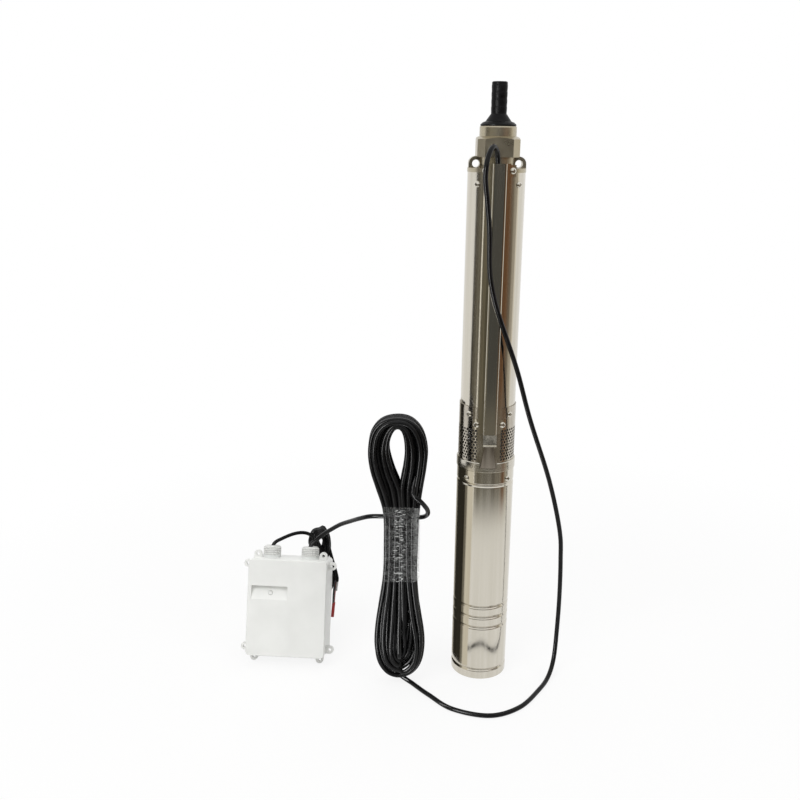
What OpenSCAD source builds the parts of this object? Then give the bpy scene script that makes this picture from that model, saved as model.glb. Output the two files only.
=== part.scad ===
// Borehole submersible pump with its supply cable and capacitor control box.
// Millimetres, +Z up. The origin is the centre of the motor's base; the cable guard faces -Y.

/* [Motor] */
// Outside diameter of the motor tube
motor_od = 76; // [74:0.5:90]
// Wall of the motor tube
motor_wall = 1.5; // [1:0.1:2.5]
// Diameter of the motor shaft in its bearings
motor_shaft_d = 15; // [13:0.5:18]
// Height of the oil space under the lower bearing housing
sump_h = 69.5; // [45:0.5:110]
// Length of the stator's lamination stack
stator_h = 120; // [80:1:220]
// Bore of the stator
stator_bore = 39; // [36:0.5:44]
// Radial gap between rotor and stator
air_gap = 0.5; // [0.4:0.05:1]
// Slots in the stator
stator_slots = 24; // [12:6:30]
// Height of the winding's end turns
coil_h = 16; // [10:1:24]
// Room between the upper end turns and the motor flange
coil_clear = 10; // [4:1:20]

/* [Rolled beads] */
// Number of beads rolled into the motor tube at the lower bearing housing
bead_count = 3; // [1:1:4]
// Distance from bead to bead
bead_pitch = 15.25; // [11:0.25:18]
// Depth of a bead
bead_depth = 1.5; // [0.6:0.1:2]
// Width of a bead
bead_w = 6; // [5:0.5:9]
// Height of the bead that holds the base cap
rim_bead_z = 14; // [11:0.5:18]

/* [Motor flange] */
// Length of the register that plugs into the motor tube
register_h = 24; // [20:1:32]
// Height of the flange ring above the motor tube
flange_h = 13; // [11:0.5:18]
// Step of the flange ring outside the motor tube
flange_step = 0.8; // [0.2:0.1:2]
// Width of the notch for the guard's foot
notch_w = 23; // [20:0.5:26]
// Depth of the notch for the guard's foot
notch_h = 7; // [5:0.5:9]

/* [Bearings and seal] */
// Outside diameter of the shaft bearings
bearing_od = 35; // [30:0.5:38]
// Width of the shaft bearings
bearing_w = 11; // [8:0.5:14]
// Outside diameter of the shaft seal
seal_od = 28; // [24:0.5:30]
// Radial running clearance of a shaft in its bearing
running = 0.03; // [0.02:0.005:0.08]

/* [Pump tube] */
// Outside diameter of the pump tube
tube_od = 72; // [70:0.5:84]
// Wall of the pump tube
tube_wall = 1.2; // [0.8:0.1:2]
// Radial clearance of pieces in the tubes
slip = 0.2; // [0.1:0.05:0.4]

/* [Stages] */
// Number of pump stages
stage_count = 9; // [3:1:12]
// Height of one stage
stage_h = 26; // [24:0.5:32]
// Outside diameter of an impeller
impeller_od = 56; // [48:0.5:58]
// Across corners of the hexagonal pump shaft
pump_shaft_d = 12; // [11:0.25:13]
// Radius of a stage's inlet eye
eye_r = 16; // [14:0.25:18]
// Blades of an impeller
impeller_blades = 6; // [4:1:8]
// Return vanes of a bowl
return_vanes = 7; // [4:1:10]
// Height of the top bearing carrier
carrier_h = 14; // [10:0.5:20]

/* [Inlet] */
// Height of the strainer sleeve
strainer_h = 74; // [66:0.5:90]
// Wall of the strainer sleeve
strainer_wall = 1; // [0.6:0.1:1.6]
// Length of pump tube inside the strainer
tube_lap = 17; // [15:0.5:22]
// Diameter of the strainer's holes
strainer_hole = 3; // [2:0.1:3.6]
// Distance between the strainer's holes
strainer_pitch = 4.6; // [4.2:0.1:8]
// Length of the bracket's spigot in the pump tube
spigot_h = 22; // [18:0.5:30]

/* [Outlet head] */
// Length of the head's spigot in the pump tube
head_spigot = 42; // [34:0.5:60]
// Height of the collar on the pump tube
collar_h = 5; // [4.6:0.1:6]
// Diameter of the rope holes
rope_hole = 9.4; // [7:0.1:10]
// Distance from the pump's axis to a rope hole
rope_x = 26.5; // [25:0.25:28]
// Across flats of the wrench block
wrench_af = 52; // [49:0.2:56]
// Across the corner flats of the wrench block
wrench_corner = 61; // [57:0.2:66]
// Height of the wrench block
wrench_h = 24.5; // [16:0.5:28]
// Outside diameter of the outlet neck
neck_od = 45.5; // [43:0.5:50]
// Height of the outlet neck
neck_h = 12.5; // [10:0.5:18]
// Diameter of the outlet's screwed bore
outlet_bore = 33; // [31:0.5:36]
// Bore of the check valve's seat
seat_bore = 26; // [22:0.5:28]
// Lift of the check valve
valve_lift = 8; // [5:0.5:9]

/* [Hose tail] */
// Diameter over the hose tail's barbs
barb_d = 19.5; // [18:0.25:23]
// Bore through the hose tail
tail_bore = 13; // [10:0.5:14]
// Number of barbs
barb_count = 4; // [2:1:6]
// Distance from barb to barb
barb_pitch = 8.5; // [7:0.25:11]
// Diameter of the hose tail's flange
tail_flange_d = 44; // [40:0.5:47]

/* [Cable guard] */
// Diameter of the supply cable
cable_d = 6.2; // [5.4:0.1:7]
// Sheet thickness of the guard
guard_t = 0.8; // [0.5:0.1:1.2]
// Width of the guard's crown
guard_w = 17.2; // [16:0.2:20]
// Length of the guard above the pump tube's end
guard_over = 11; // [4:0.5:14]

/* [Screws] */
// Diameter of the casing screws
screw_d = 4; // [3:0.1:4.4]
// Diameter of a screw head
head_d = 8; // [6.5:0.1:8.6]
// Height of a screw head
head_h = 2.6; // [1.8:0.1:3]
// Length of a screw under its head
screw_len = 8; // [6.5:0.25:9]

/* [Control box] */
// Width of the box
box_w = 112.6; // [104:0.2:130]
// Height of the box
box_h = 136; // [125:0.5:160]
// Depth of the box with its lid
box_d = 58; // [54:0.5:70]
// Depth of the lid
lid_d = 8; // [6.5:0.25:10]
// Wall of the box
box_wall = 2.5; // [2:0.1:3.5]
// Reach of the lugs outside the box
lug_out = 10.5; // [9:0.25:13]
// Thickness of the lugs
lug_t = 5; // [4:0.25:7]
// Diameter of the holes in the lugs
lug_hole = 4.4; // [3.6:0.1:5]
// Diameter of the run capacitor
capacitor_d = 38; // [30:0.5:40]
// Diameter of the reset button
button_d = 5.4; // [4:0.1:7]
// Travel of the reset button
button_travel = 2.5; // [1.5:0.1:3]
// Diameter of the cable glands' nuts
gland_d = 25; // [22:0.5:28]
// Diameter of the mains lead
lead_d = 5.2; // [4.6:0.1:6]

/* [Hidden] */
$fn = 72;
steel = [0.74, 0.73, 0.70];
nickel = [0.66, 0.62, 0.54];
cast = [0.45, 0.45, 0.44];
black = [0.06, 0.06, 0.06];
white = [0.93, 0.94, 0.92];
copper = [0.72, 0.40, 0.22];
front = 270;
touch = 0.1;

// Motor, from the base upwards
motor_r = motor_od / 2;
motor_ir = motor_r - motor_wall;
bead_edge = 9;
housing_h = (bead_count - 1) * bead_pitch + 2 * bead_edge;
first_bead_z = sump_h + bead_edge;
stator_z = sump_h + housing_h + coil_h;
register_z = stator_z + stator_h + coil_h + coil_clear;
flange_z = register_z + register_h;
strainer_z = flange_z + flange_h;
motor_screw_z = register_z + register_h / 2 + 1;
beads = concat([rim_bead_z], [for (i = [0 : bead_count - 1]) first_bead_z + i * bead_pitch], [register_z + 5]);
bead_steps = 8;
edge_r = 1.6;
flange_r = motor_r + flange_step;
web_up = 10;
web_h = 22;
hub_wall = 5;
seat_up = 6;
shaft_room = 1;
slot_w = 3;
slot_len = 8;
slot_in = 2;
insulation = 0.15;
rotor_r = stator_bore / 2 - air_gap;
cap_h = rim_bead_z + 8;
seal_h = 8;
key_fit = 0.03;

// Inlet, pump tube and stages
tube_r = tube_od / 2;
tube_ir = tube_r - tube_wall;
strainer_ir = tube_r + slip;
strainer_r = strainer_ir + strainer_wall;
strainer_top = strainer_z + strainer_h;
tube_z = strainer_top - tube_lap;
shoulder_h = 10;
stack_z = tube_z + spigot_h;
carrier_z = stack_z + stage_count * stage_h;
head_z = carrier_z + carrier_h + head_spigot;
lower_screw_z = strainer_top - tube_lap / 2 - 1.5;
upper_screw_z = head_z - 14;
screw_angles = [-135, -45, 45, 135];
ear_angles = [-26, 26];
column_angles = [-150, -90, -30, 30, 90, 150];
bolt_angles = [-120, -60, 60, 120];
bowl_r = tube_ir - slip;
bowl_wall = 2.5;
plate_t = 2.2;
impeller_r = impeller_od / 2;
shroud_t = 1.6;
shroud_z = plate_t + 0.8;
passage_h = 7.4;
hub_r = 10;
neck_t = 1.4;
neck_gap = 0.6;
guide_z = shroud_z + 2 * shroud_t + passage_h + 2.8;
guide_edge = 3;
blade_t = 1.6;
journal_r = pump_shaft_d / 2 - 1;
bush_t = 2.5;
bracket_flange_h = 8;
bolt_d = 5;
bolt_len = 8;
bolt_pcd_r = 29;
bracket_bore_r = 22;
coupling_z = strainer_z + 6;
coupling_h = 44;
coupling_r = 12.5;
shaft_joint_z = coupling_z + coupling_h / 2;
perforation_low = 3.5;
perforation_high = 2.5;
plain_half = 24;
fit_hole = 0.05;
sheet_hole = 0.2;

// Cable guard and the cable under it
riser_gap = 0.8;
riser_y = strainer_r + riser_gap + cable_d / 2;
crown_in = riser_y + cable_d / 2 + riser_gap;
crown_out = crown_in + guard_t;
guard_in = strainer_r + 0.15;
guard_out = guard_in + guard_t;
guard_flange_half = 22;
ear_half = 33;
ear_h = 14;
guard_top = head_z + guard_over;
ear_top_z = head_z + collar_h / 2;
ear_low_z = tube_z - shoulder_h / 2;
lip_z = ear_low_z - 12;
lip_h = 12;
lip_out = 4.5;
lip_roll = 1.1;
window_w = 13.6;
window_h = 16;
window_deep = 0.3;
guard_low = lip_z - lip_h;
foot_z = strainer_z - notch_h + touch;
foot_top = guard_low - 0.5;
foot_top_half = 5;
foot_low_r = guard_out + 0.05;
foot_top_r = guard_out + 2.35;
plug_y = 31.5;
plug_d = cable_d + 0.4;
plug_h = 6.5;
slot_top = ear_low_z - 9;
slot_half = cable_d / 2 + 1.6;

// Outlet head
lug_z = head_z + 10;
rope_lug_r = 8.8;
rope_lug_t = 16;
waist_r = 23;
waist_h = 18;
wrench_z = head_z + waist_h;
wrench_trim_r = wrench_corner / 2 + 1.7;
wrench_chamfer = 4;
neck_z = wrench_z + wrench_h;
neck_top = neck_z + neck_h;
seat_z = head_z + 10;
chamber_r = 19;
chamber_h = valve_lift + 14;
cavity_r = 30;
poppet_t = 4;
poppet_lap = 3.5;
wing_clear = 0.4;
wing_h = 12;
tail_flange_h = 5;
tail_cone_h = 9;
tail_plug_h = min(15, neck_top - seat_z - chamber_h);
barb_z = neck_top + tail_flange_h + tail_cone_h;
barb_land = 3;
barb_dip = 0.2;

// Control box: it stands on its lower lugs and on the lower edge of its back
lug_front = 12.7;
lug_back = lid_d + lug_front + lug_t;
box_lean = atan(lug_out / (box_d - lug_back));
box_yaw = -4.1;
box_pos = [-274.6, -17.3, box_d * sin(box_lean)];
corner_r = 6;
lid_bevel = 2;
lug_w = 11;
end_lug_in = 9;
side_lug_in = 9;
pocket_w = 51.8;
pocket_h = 19;
pocket_deep = 9.5;
pocket_left = 5.5;
pocket_down = 37.5;
pocket_skin = 1.8;
button_down = 10;
button_side = 1.2;
button_rim = 1.6;
button_proud = 2;
post_r = 5;
lid_screw_d = 3.5;
lid_screw_head = 7;
gland_xs = [-28, 27.3];
gland_y = 28;
gland_thread = 20;
gland_collar_h = 4;
gland_nut_h = 13;
gland_flutes = 18;
capacitor_h = 70;

// Routes of the cables, in millimetres from the origin
cable_route = [
    [-2.7, -41.1, 697.5], [-3, -41.2, 703.5], [-5, -46, 712], [-9.5, -56, 717.2], [-14.8, -66, 711],
    [-18.6, -72, 698], [-19.4, -72, 680], [-16, -67, 655], [-11.5, -60, 620], [-9, -55, 572],
    [-3, -52, 540], [7, -50.5, 509], [31, -44, 445], [52, -36, 377], [83, -24, 290],
    [103, -12, 214], [108, -6, 167], [110, -3, 110], [109, -5, 60], [105, -16, 22],
    [95, -38, 6], [78, -68, 3.4], [47, -110, 3.4], [6, -130, 3.4], [-42, -116, 3.4],
    [-72, -84, 3.4], [-88, -64, 3.4], [-99, -49.5, 3.4]];
box_route = [
    [-242.3, 51.6, 145.8], [-242.2, 53.1, 150.5], [-242.1, 54.8, 155.6], [-240.2, 56.4, 159], [-235.6, 57, 162.8],
    [-228.8, 55.5, 169.7], [-220.7, 52, 177.4], [-211.9, 46, 185.6], [-198.2, 34, 198.4], [-183.4, 15, 211.5],
    [-168.5, -9, 226], [-154, -23, 235], [-136.7, -26.8, 237.3], [-118, -26.8, 239], [-98, -26.8, 240.5],
    [-86, -27.2, 241.5], [-79.5, -34, 244], [-77.5, -45, 251], [-79.5, -56, 258.5], [-85, -63.5, 267],
    [-93.8, -65, 277], [-105, -64.5, 283]];
lead_route = [
    [-297.5, 55.5, 145.8], [-297.3, 57.1, 150.5], [-297.2, 58.7, 155.5], [-295.4, 60.3, 158], [-291, 61.8, 160],
    [-284.9, 63.8, 162.3], [-276.6, 66.5, 165.5], [-267.2, 70, 167.7], [-256.4, 74.5, 167.5], [-247.4, 79, 163.4],
    [-240.7, 82.3, 155.9]];
tail_route = [
    [-218.1, 94, 120], [-213.3, 93, 113.4], [-209, 91, 105.3], [-206.1, 88, 97.6], [-205.7, 85.5, 91.7],
    [-206.8, 83, 85.9]];
core_routes = [
    [[-208, 85.4, 84.6], [-209.7, 83.6, 70.5], [-211.1, 81, 53.7], [-213.1, 77.8, 31.2]],
    [[-205.7, 82.6, 85.6], [-206.5, 81.2, 79.4], [-207.3, 80.2, 72.9]],
    [[-209.2, 81, 85.9], [-210.3, 79.4, 77.4], [-211.1, 77.8, 66.8], [-211.6, 76.8, 55]]];
core_d = 3.2;
core_colors = [[0.70, 0.10, 0.08], [0.85, 0.85, 0.83], [0.10, 0.10, 0.10]];

// The standing hank of supply cable, and the small hank of mains lead behind the box
hank_y = -46;
hank_t = 30;
hank_foot = [-111, 34.5];
hank_tip_y = -33;
hank_tip = 0.45;
hank_foot_r = 34.5;
hank_waist_x = -112;
hank_waist_half = 24;
hank_waist_low = 150;
hank_waist_high = 262;
hank_loop = [-117.2, 344.8];
hank_loop_r = 37.2;
hank_eye = [-119, 356];
hank_eye_r = 9.5;
hank_eye_low = 294;
wrap_low = 159;
wrap_high = 261;
wrap_t = 0.6;
wrap_gap = 0.1;
mains_hank_x = -234;
mains_loop = [-232.8, 152.5];
mains_loop_r = 17;
mains_hank_y = 95;
mains_hank_w = 26;
mains_hank_h = 165;
mains_hank_t = 19;

// Shared shapes

// Depth of the rolled beads at height z, from 0 between beads to 1 in the middle of one
function bead_at(z) =
    max([for (b = beads) abs(z - b) < bead_w / 2 ? (1 + cos(360 * (z - b) / bead_w)) / 2 : 0]);

// Heights from low to high at which a beaded wall is drawn
function bead_heights(low, high) = concat(
    [low],
    [for (b = beads) for (k = [0 : bead_steps]) let(z = b + bead_w * (k / bead_steps - 0.5))
        if (z > low && z < high) z],
    [high]);

// Radius and height of a beaded wall of radius r
function bead_wall(r, low, high) = [for (z = bead_heights(low, high)) [r - bead_depth * bead_at(z), z]];

function reversed(list) = [for (i = [len(list) - 1 : -1 : 0]) list[i]];

// Rectangle of a revolved section, from its inner and outer radius and its two heights
module ring_section(r1, r2, z1, z2) {
    translate([r1, z1]) square([r2 - r1, z2 - z1]);
}

module ring(r1, r2, z1, z2) {
    rotate_extrude() ring_section(r1, r2, z1, z2);
}

// Places children on the casing with +X pointing outwards, at an angle from the guard
module at_angle(angle, r, z) {
    rotate(front + angle) translate([r, 0, z]) children();
}

module radial_holes(angles, z, d, r1, r2) {
    for (a = angles) at_angle(a, r1, z) rotate([0, 90, 0]) cylinder(d = d, h = r2 - r1);
}

// Round-headed screw with a cross recess; its head stands on x = 0
module pan_screw() {
    r = head_d / 2;
    recess = head_d * 0.55;
    recess_w = head_d * 0.14;
    rotate([0, 90, 0]) difference() {
        rotate_extrude() polygon([
            [0, 0], [r, 0], [r * 0.98, head_h * 0.3], [r * 0.85, head_h * 0.62], [r * 0.62, head_h * 0.86],
            [r * 0.34, head_h], [0, head_h]]);
        for (turn = [0, 90]) rotate(turn)
            translate([-recess / 2, -recess_w / 2, head_h / 2]) cube([recess, recess_w, head_h]);
    }
    rotate([0, -90, 0]) cylinder(d = screw_d, h = screw_len);
}

// Sector of a disc, centred on the guard
module front_sector(half) {
    reach = 2 * motor_od;
    polygon([[0, 0], [-reach * sin(half), -reach * cos(half)], [reach * sin(half), -reach * cos(half)]]);
}

// Rounded rectangle, centred across and standing on y = 0
module rounded_rect(w, h, r) {
    translate([-w / 2 + r, 0]) square([w - 2 * r, h]);
    translate([-w / 2, r]) square([w, h - 2 * r]);
    for (x = [-w / 2 + r, w / 2 - r], y = [r, h - r]) translate([x, y]) circle(r);
}

// Curve through the points of a route, with n steps from point to point
function spline_at(a, b, c, d, t) =
    0.5 * (2 * b + (c - a) * t + (2 * a - 5 * b + 4 * c - d) * t * t + (3 * b - a - 3 * c + d) * t * t * t);
function smooth_route(p, n) = let(last = len(p) - 1) concat(
    [for (i = [0 : last - 1]) for (k = [0 : n - 1])
        spline_at(p[max(i - 1, 0)], p[i], p[i + 1], p[min(i + 2, last)], k / n)],
    [p[last]]);
function unit(v) = v / norm(v);
function directions(p) = let(last = len(p) - 1)
    [for (i = [0 : last]) unit(p[min(i + 1, last)] - p[max(i - 1, 0)])];

// Sideways direction of each ring, carried along the route without twist
function carry(dirs, side, i = 0, out = []) =
    i == len(dirs) ? out : let(s = unit(side - (side * dirs[i]) * dirs[i]))
    carry(dirs, s, i + 1, concat(out, [s]));

// Round cord of diameter d along a route
module cord(route, d, n = 2, sides = 10) {
    path = smooth_route(route, n);
    dirs = directions(path);
    side = carry(dirs, [0.31, 0.95, 0.05]);
    rings = len(path);
    points = [for (i = [0 : rings - 1]) for (k = [0 : sides - 1]) let(a = 360 * k / sides)
        path[i] + d / 2 * (cos(a) * side[i] + sin(a) * cross(dirs[i], side[i]))];
    walls = [for (i = [0 : rings - 2]) for (k = [0 : sides - 1])
        let(a = i * sides + k, b = i * sides + (k + 1) % sides) each [[a, a + sides, b], [b, a + sides, b + sides]]];
    ends = [[for (k = [0 : sides - 1]) k], [for (k = [sides - 1 : -1 : 0]) (rings - 1) * sides + k]];
    polyhedron(points, concat(walls, ends));
}

// Motor

module motor_tube() color(steel) difference() {
    rotate_extrude() polygon(concat(
        [[motor_ir, 0], [motor_r - edge_r, 0], [motor_r - edge_r * 0.3, edge_r * 0.3]],
        bead_wall(motor_r, edge_r, flange_z),
        reversed(bead_wall(motor_ir, edge_r, flange_z))));
    radial_holes(screw_angles, motor_screw_z, screw_d + 2 * sheet_hole, motor_ir - 1, motor_r + 1);
}

module base_cap() color(cast) rotate_extrude() polygon(concat(
    [[0, 0]], bead_wall(motor_ir - touch, 0, cap_h),
    [[motor_ir - 6, cap_h], [motor_ir - 8, 8], [0, 8]]));

module lower_bearing_housing() color(cast) {
    low = sump_h;
    high = sump_h + housing_h;
    outer = motor_ir - touch;
    web_z = low + web_up;
    seat_r = bearing_od / 2 + fit_hole;
    rotate_extrude() difference() {
        union() {
            polygon(concat([[outer - 7, low]], bead_wall(outer, low, high), [[outer - 7, high]]));
            ring_section(seat_r - 2, outer - 6, web_z, web_z + 8);
            ring_section(motor_shaft_d / 2 + shaft_room, seat_r + hub_wall, web_z, web_z + web_h);
        }
        ring_section(0, seat_r, web_z + seat_up, high + 1);
    }
}

module bearing(z) {
    shield = 0.6;
    inner_wall = 3;
    difference() {
        ring(motor_shaft_d / 2 + running, bearing_od / 2, z, z + bearing_w);
        for (face = [z - shield, z + bearing_w - shield])
            ring(motor_shaft_d / 2 + inner_wall, bearing_od / 2 - inner_wall, face, face + 2 * shield);
    }
}

module lower_bearing() color(steel) bearing(sump_h + web_up + seat_up);

module upper_bearing() color(steel) bearing(register_z + touch);

module stator_slot(room) {
    r1 = stator_bore / 2 + slot_in - room;
    w = slot_w + 2 * room;
    translate([r1, -w / 2]) square([slot_len + 2 * room, w]);
}

module stator_core() color(cast) translate([0, 0, stator_z]) linear_extrude(stator_h) difference() {
    circle(motor_ir - slip);
    circle(stator_bore / 2);
    for (i = [0 : stator_slots - 1]) rotate(i * 360 / stator_slots) stator_slot(insulation);
}

module stator_winding() color(copper) {
    turns = coil_h - 3;
    translate([0, 0, stator_z - turns]) linear_extrude(stator_h + 2 * turns)
        for (i = [0 : stator_slots - 1]) rotate(i * 360 / stator_slots) stator_slot(0);
    for (z = [stator_z - turns, stator_z + stator_h + 0.5])
        ring(stator_bore / 2 + 1.5, stator_bore / 2 + slot_in + slot_len + 2, z, z + turns - 0.5);
}

module rotor_core() color(cast) {
    end_ring = 7;
    ring(motor_shaft_d / 2 + key_fit, rotor_r, stator_z, stator_z + stator_h);
    for (z = [stator_z - end_ring, stator_z + stator_h])
        ring(rotor_r - 8, rotor_r - 1, z, z + end_ring);
}

module motor_shaft() color(steel) {
    low = sump_h + web_up + 1;
    neck = strainer_z + 3;
    end = shaft_joint_z - 0.5;
    bevel = 0.8;
    rotate_extrude() polygon([
        [0, low], [motor_shaft_d / 2 - bevel, low], [motor_shaft_d / 2, low + bevel],
        [motor_shaft_d / 2, neck], [pump_shaft_d / 2, neck + 2],
        [pump_shaft_d / 2, end - bevel], [pump_shaft_d / 2 - bevel, end], [0, end]]);
}

module motor_flange() color(nickel) difference() {
    bevel = 0.8;
    seat_r = bearing_od / 2 + fit_hole;
    bore_r = motor_shaft_d / 2 + shaft_room;
    seal_z = strainer_z - seal_h;
    rotate_extrude() polygon(concat([
        [seat_r, register_z], [motor_ir - slip - bevel, register_z]],
        bead_wall(motor_ir - slip, register_z + bevel, flange_z),
        [[flange_r - bevel, flange_z], [flange_r, flange_z + bevel], [flange_r, strainer_z - bevel], [flange_r - bevel, strainer_z],
        [seal_od / 2 + fit_hole, strainer_z], [seal_od / 2 + fit_hole, seal_z], [bore_r, seal_z],
        [bore_r, register_z + bearing_w + 0.5], [seat_r, register_z + bearing_w + 0.5]]));
    radial_holes(screw_angles, motor_screw_z, screw_d + 2 * fit_hole, motor_r - screw_len - 1, motor_r + 1);
    for (a = bolt_angles) at_angle(a, bolt_pcd_r, strainer_z - bolt_len - 1)
        cylinder(d = bolt_d + 2 * fit_hole, h = bolt_len + 2);
    at_angle(0, plug_y, strainer_z - plug_h) cylinder(d = plug_d, h = plug_h + 1);
    translate([-notch_w / 2, -2 * motor_od, strainer_z - notch_h])
        cube([notch_w, 2 * motor_od - strainer_ir + 1, notch_h + 1]);
}

module shaft_seal() color(black)
    ring(motor_shaft_d / 2 + running, seal_od / 2, strainer_z - seal_h, strainer_z - 0.5);

module motor_screws() color(steel)
    for (a = screw_angles) at_angle(a, motor_r, motor_screw_z) pan_screw();

// Inlet

module intake_bracket() color(cast) difference() {
    union() {
        ring(bracket_bore_r, tube_r - slip, strainer_z, strainer_z + bracket_flange_h);
        for (a = column_angles) at_angle(a, bracket_bore_r + 2, strainer_z)
            translate([0, -4, 0]) cube([10, 8, tube_z - strainer_z]);
        ring(bracket_bore_r, tube_r - slip, tube_z - shoulder_h, tube_z);
        ring(bracket_bore_r, tube_ir - slip, tube_z, stack_z);
    }
    radial_holes(screw_angles, lower_screw_z, screw_d + 2 * fit_hole, bracket_bore_r + 1, tube_r);
    radial_holes(ear_angles, ear_low_z, screw_d + 2 * fit_hole, bracket_bore_r + 1, tube_r + 1);
    for (a = bolt_angles) at_angle(a, bolt_pcd_r, strainer_z - 1)
        cylinder(d = bolt_d + 2 * sheet_hole, h = bracket_flange_h + 2);
    translate([-slot_half, -tube_od, strainer_z - 1])
        cube([2 * slot_half, tube_od - plug_y + slot_half, bracket_flange_h + 2]);
}

module bracket_bolts() color(steel) for (a = bolt_angles) at_angle(a, bolt_pcd_r, strainer_z) {
    bolt_head = 8.5;
    translate([0, 0, -bolt_len]) cylinder(d = bolt_d, h = bolt_len + bracket_flange_h);
    translate([0, 0, bracket_flange_h]) difference() {
        cylinder(d = bolt_head, h = bolt_d);
        translate([0, 0, bolt_d / 2]) cylinder(d = bolt_d * 0.9, h = bolt_d, $fn = 6);
    }
}

module inlet_strainer() color(steel) difference() {
    low = strainer_z + perforation_low;
    rows = floor((tube_z - shoulder_h - perforation_high - low) / (strainer_pitch * sin(60)));
    step = strainer_pitch / strainer_r * 180 / PI;
    last = floor((360 - 2 * plain_half) / step);
    ring(strainer_ir, strainer_r, strainer_z + touch, strainer_top);
    for (row = [0 : rows - 1], i = [0 : last - 1])
        at_angle(plain_half + (i + 0.5 + (row % 2) / 2) * step, strainer_ir - 1,
                 low + (row + 0.5) * strainer_pitch * sin(60))
            rotate([0, 90, 0]) cylinder(d = strainer_hole, h = strainer_wall + 2);
    radial_holes(screw_angles, lower_screw_z, screw_d + 2 * sheet_hole, strainer_ir - 1, strainer_r + 1);
    radial_holes(ear_angles, ear_low_z, screw_d + 2 * sheet_hole, strainer_ir - 1, strainer_r + 1);
    translate([-slot_half, -tube_od, strainer_z - 1])
        cube([2 * slot_half, tube_od, slot_top - strainer_z + 1]);
}

module shaft_coupling() color(steel) difference() {
    flat = coupling_r * 0.85;
    ring(pump_shaft_d / 2 + key_fit, coupling_r, coupling_z, coupling_z + coupling_h);
    for (turn = [0, 180]) rotate(turn)
        translate([flat, -coupling_r, shaft_joint_z - 6]) cube([coupling_r, 2 * coupling_r, 12]);
}

// Pump

module pump_tube() color(steel) difference() {
    ring(tube_ir, tube_r, tube_z, head_z);
    radial_holes(screw_angles, lower_screw_z, screw_d + 2 * sheet_hole, tube_ir - 1, tube_r + 1);
    radial_holes(screw_angles, upper_screw_z, screw_d + 2 * sheet_hole, tube_ir - 1, tube_r + 1);
}

module pump_shaft() color(steel) {
    low = shaft_joint_z + 0.5;
    hex_end = carrier_z - 2;
    cylinder_end = carrier_z + carrier_h + 1;
    translate([0, 0, low]) cylinder(d = pump_shaft_d, h = hex_end - low, $fn = 6);
    translate([0, 0, hex_end - 1]) cylinder(r = journal_r, h = cylinder_end - hex_end + 1);
}

// Curved blades between two radii, leaning back against the turn
module blades(count, r1, r2) {
    bend = r2 * 0.8;
    intersection() {
        difference() {
            circle(r2);
            circle(r1);
        }
        for (i = [0 : count - 1]) rotate(i * 360 / count) translate([0, bend]) intersection() {
            difference() {
                circle(bend);
                circle(bend - blade_t);
            }
            translate([0, -bend]) square([bend, bend]);
        }
    }
}

module impeller(i) color(black) translate([0, 0, stack_z + (i - 1) * stage_h]) {
    neck_r = eye_r - neck_gap;
    top_shroud = shroud_z + shroud_t + passage_h;
    difference() {
        union() {
            ring(neck_r - neck_t, neck_r, plate_t - 1.6, shroud_z + touch);
            ring(neck_r - neck_t, impeller_r, shroud_z, shroud_z + shroud_t);
            translate([0, 0, shroud_z + shroud_t - touch]) linear_extrude(passage_h + 2 * touch)
                blades(impeller_blades, neck_r - neck_t, impeller_r);
            ring(0, impeller_r, top_shroud, top_shroud + shroud_t);
            ring(0, hub_r, top_shroud - 4, guide_z - 0.8);
        }
        translate([0, 0, -1]) cylinder(d = pump_shaft_d + 2 * key_fit, h = stage_h, $fn = 6);
    }
}

module stage_bowl(i) color(cast) translate([0, 0, stack_z + (i - 1) * stage_h]) {
    wall_r = bowl_r - bowl_wall;
    ring(wall_r, bowl_r, 0, stage_h);
    ring(eye_r, wall_r + touch, 0, plate_t);
    ring(pump_shaft_d / 2 + shaft_room, wall_r - guide_edge, guide_z, guide_z + plate_t);
    translate([0, 0, guide_z + plate_t - touch]) linear_extrude(stage_h - guide_z - plate_t + touch)
        mirror([1, 0]) blades(return_vanes, hub_r, wall_r + touch);
}

module top_bearing_carrier() color(cast) translate([0, 0, carrier_z]) {
    bore = journal_r + bush_t + fit_hole;
    spoke_w = 4;
    ring(bowl_r - 4, bowl_r, 0, carrier_h);
    ring(bore, bore + 4, 0, carrier_h);
    for (turn = [0 : 90 : 270]) rotate(turn)
        translate([bore + 2, -spoke_w / 2, 2]) cube([bowl_r - bore - 4, spoke_w, carrier_h - 2]);
}

module top_bearing_bush() color(black)
    ring(journal_r + running, journal_r + bush_t, carrier_z, carrier_z + carrier_h);

// Outlet

module rope_lug() {
    rotate([90, 0, 0]) linear_extrude(rope_lug_t, center = true) {
        translate([rope_x, lug_z]) circle(rope_lug_r);
        translate([waist_r - 6, head_z + 1]) square([rope_x + rope_lug_r - waist_r + 6, lug_z - head_z - 1]);
        translate([waist_r - 6, head_z + 1]) square([rope_x - waist_r + 6, lug_z + rope_lug_r - head_z - 1]);
    }
}

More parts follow.
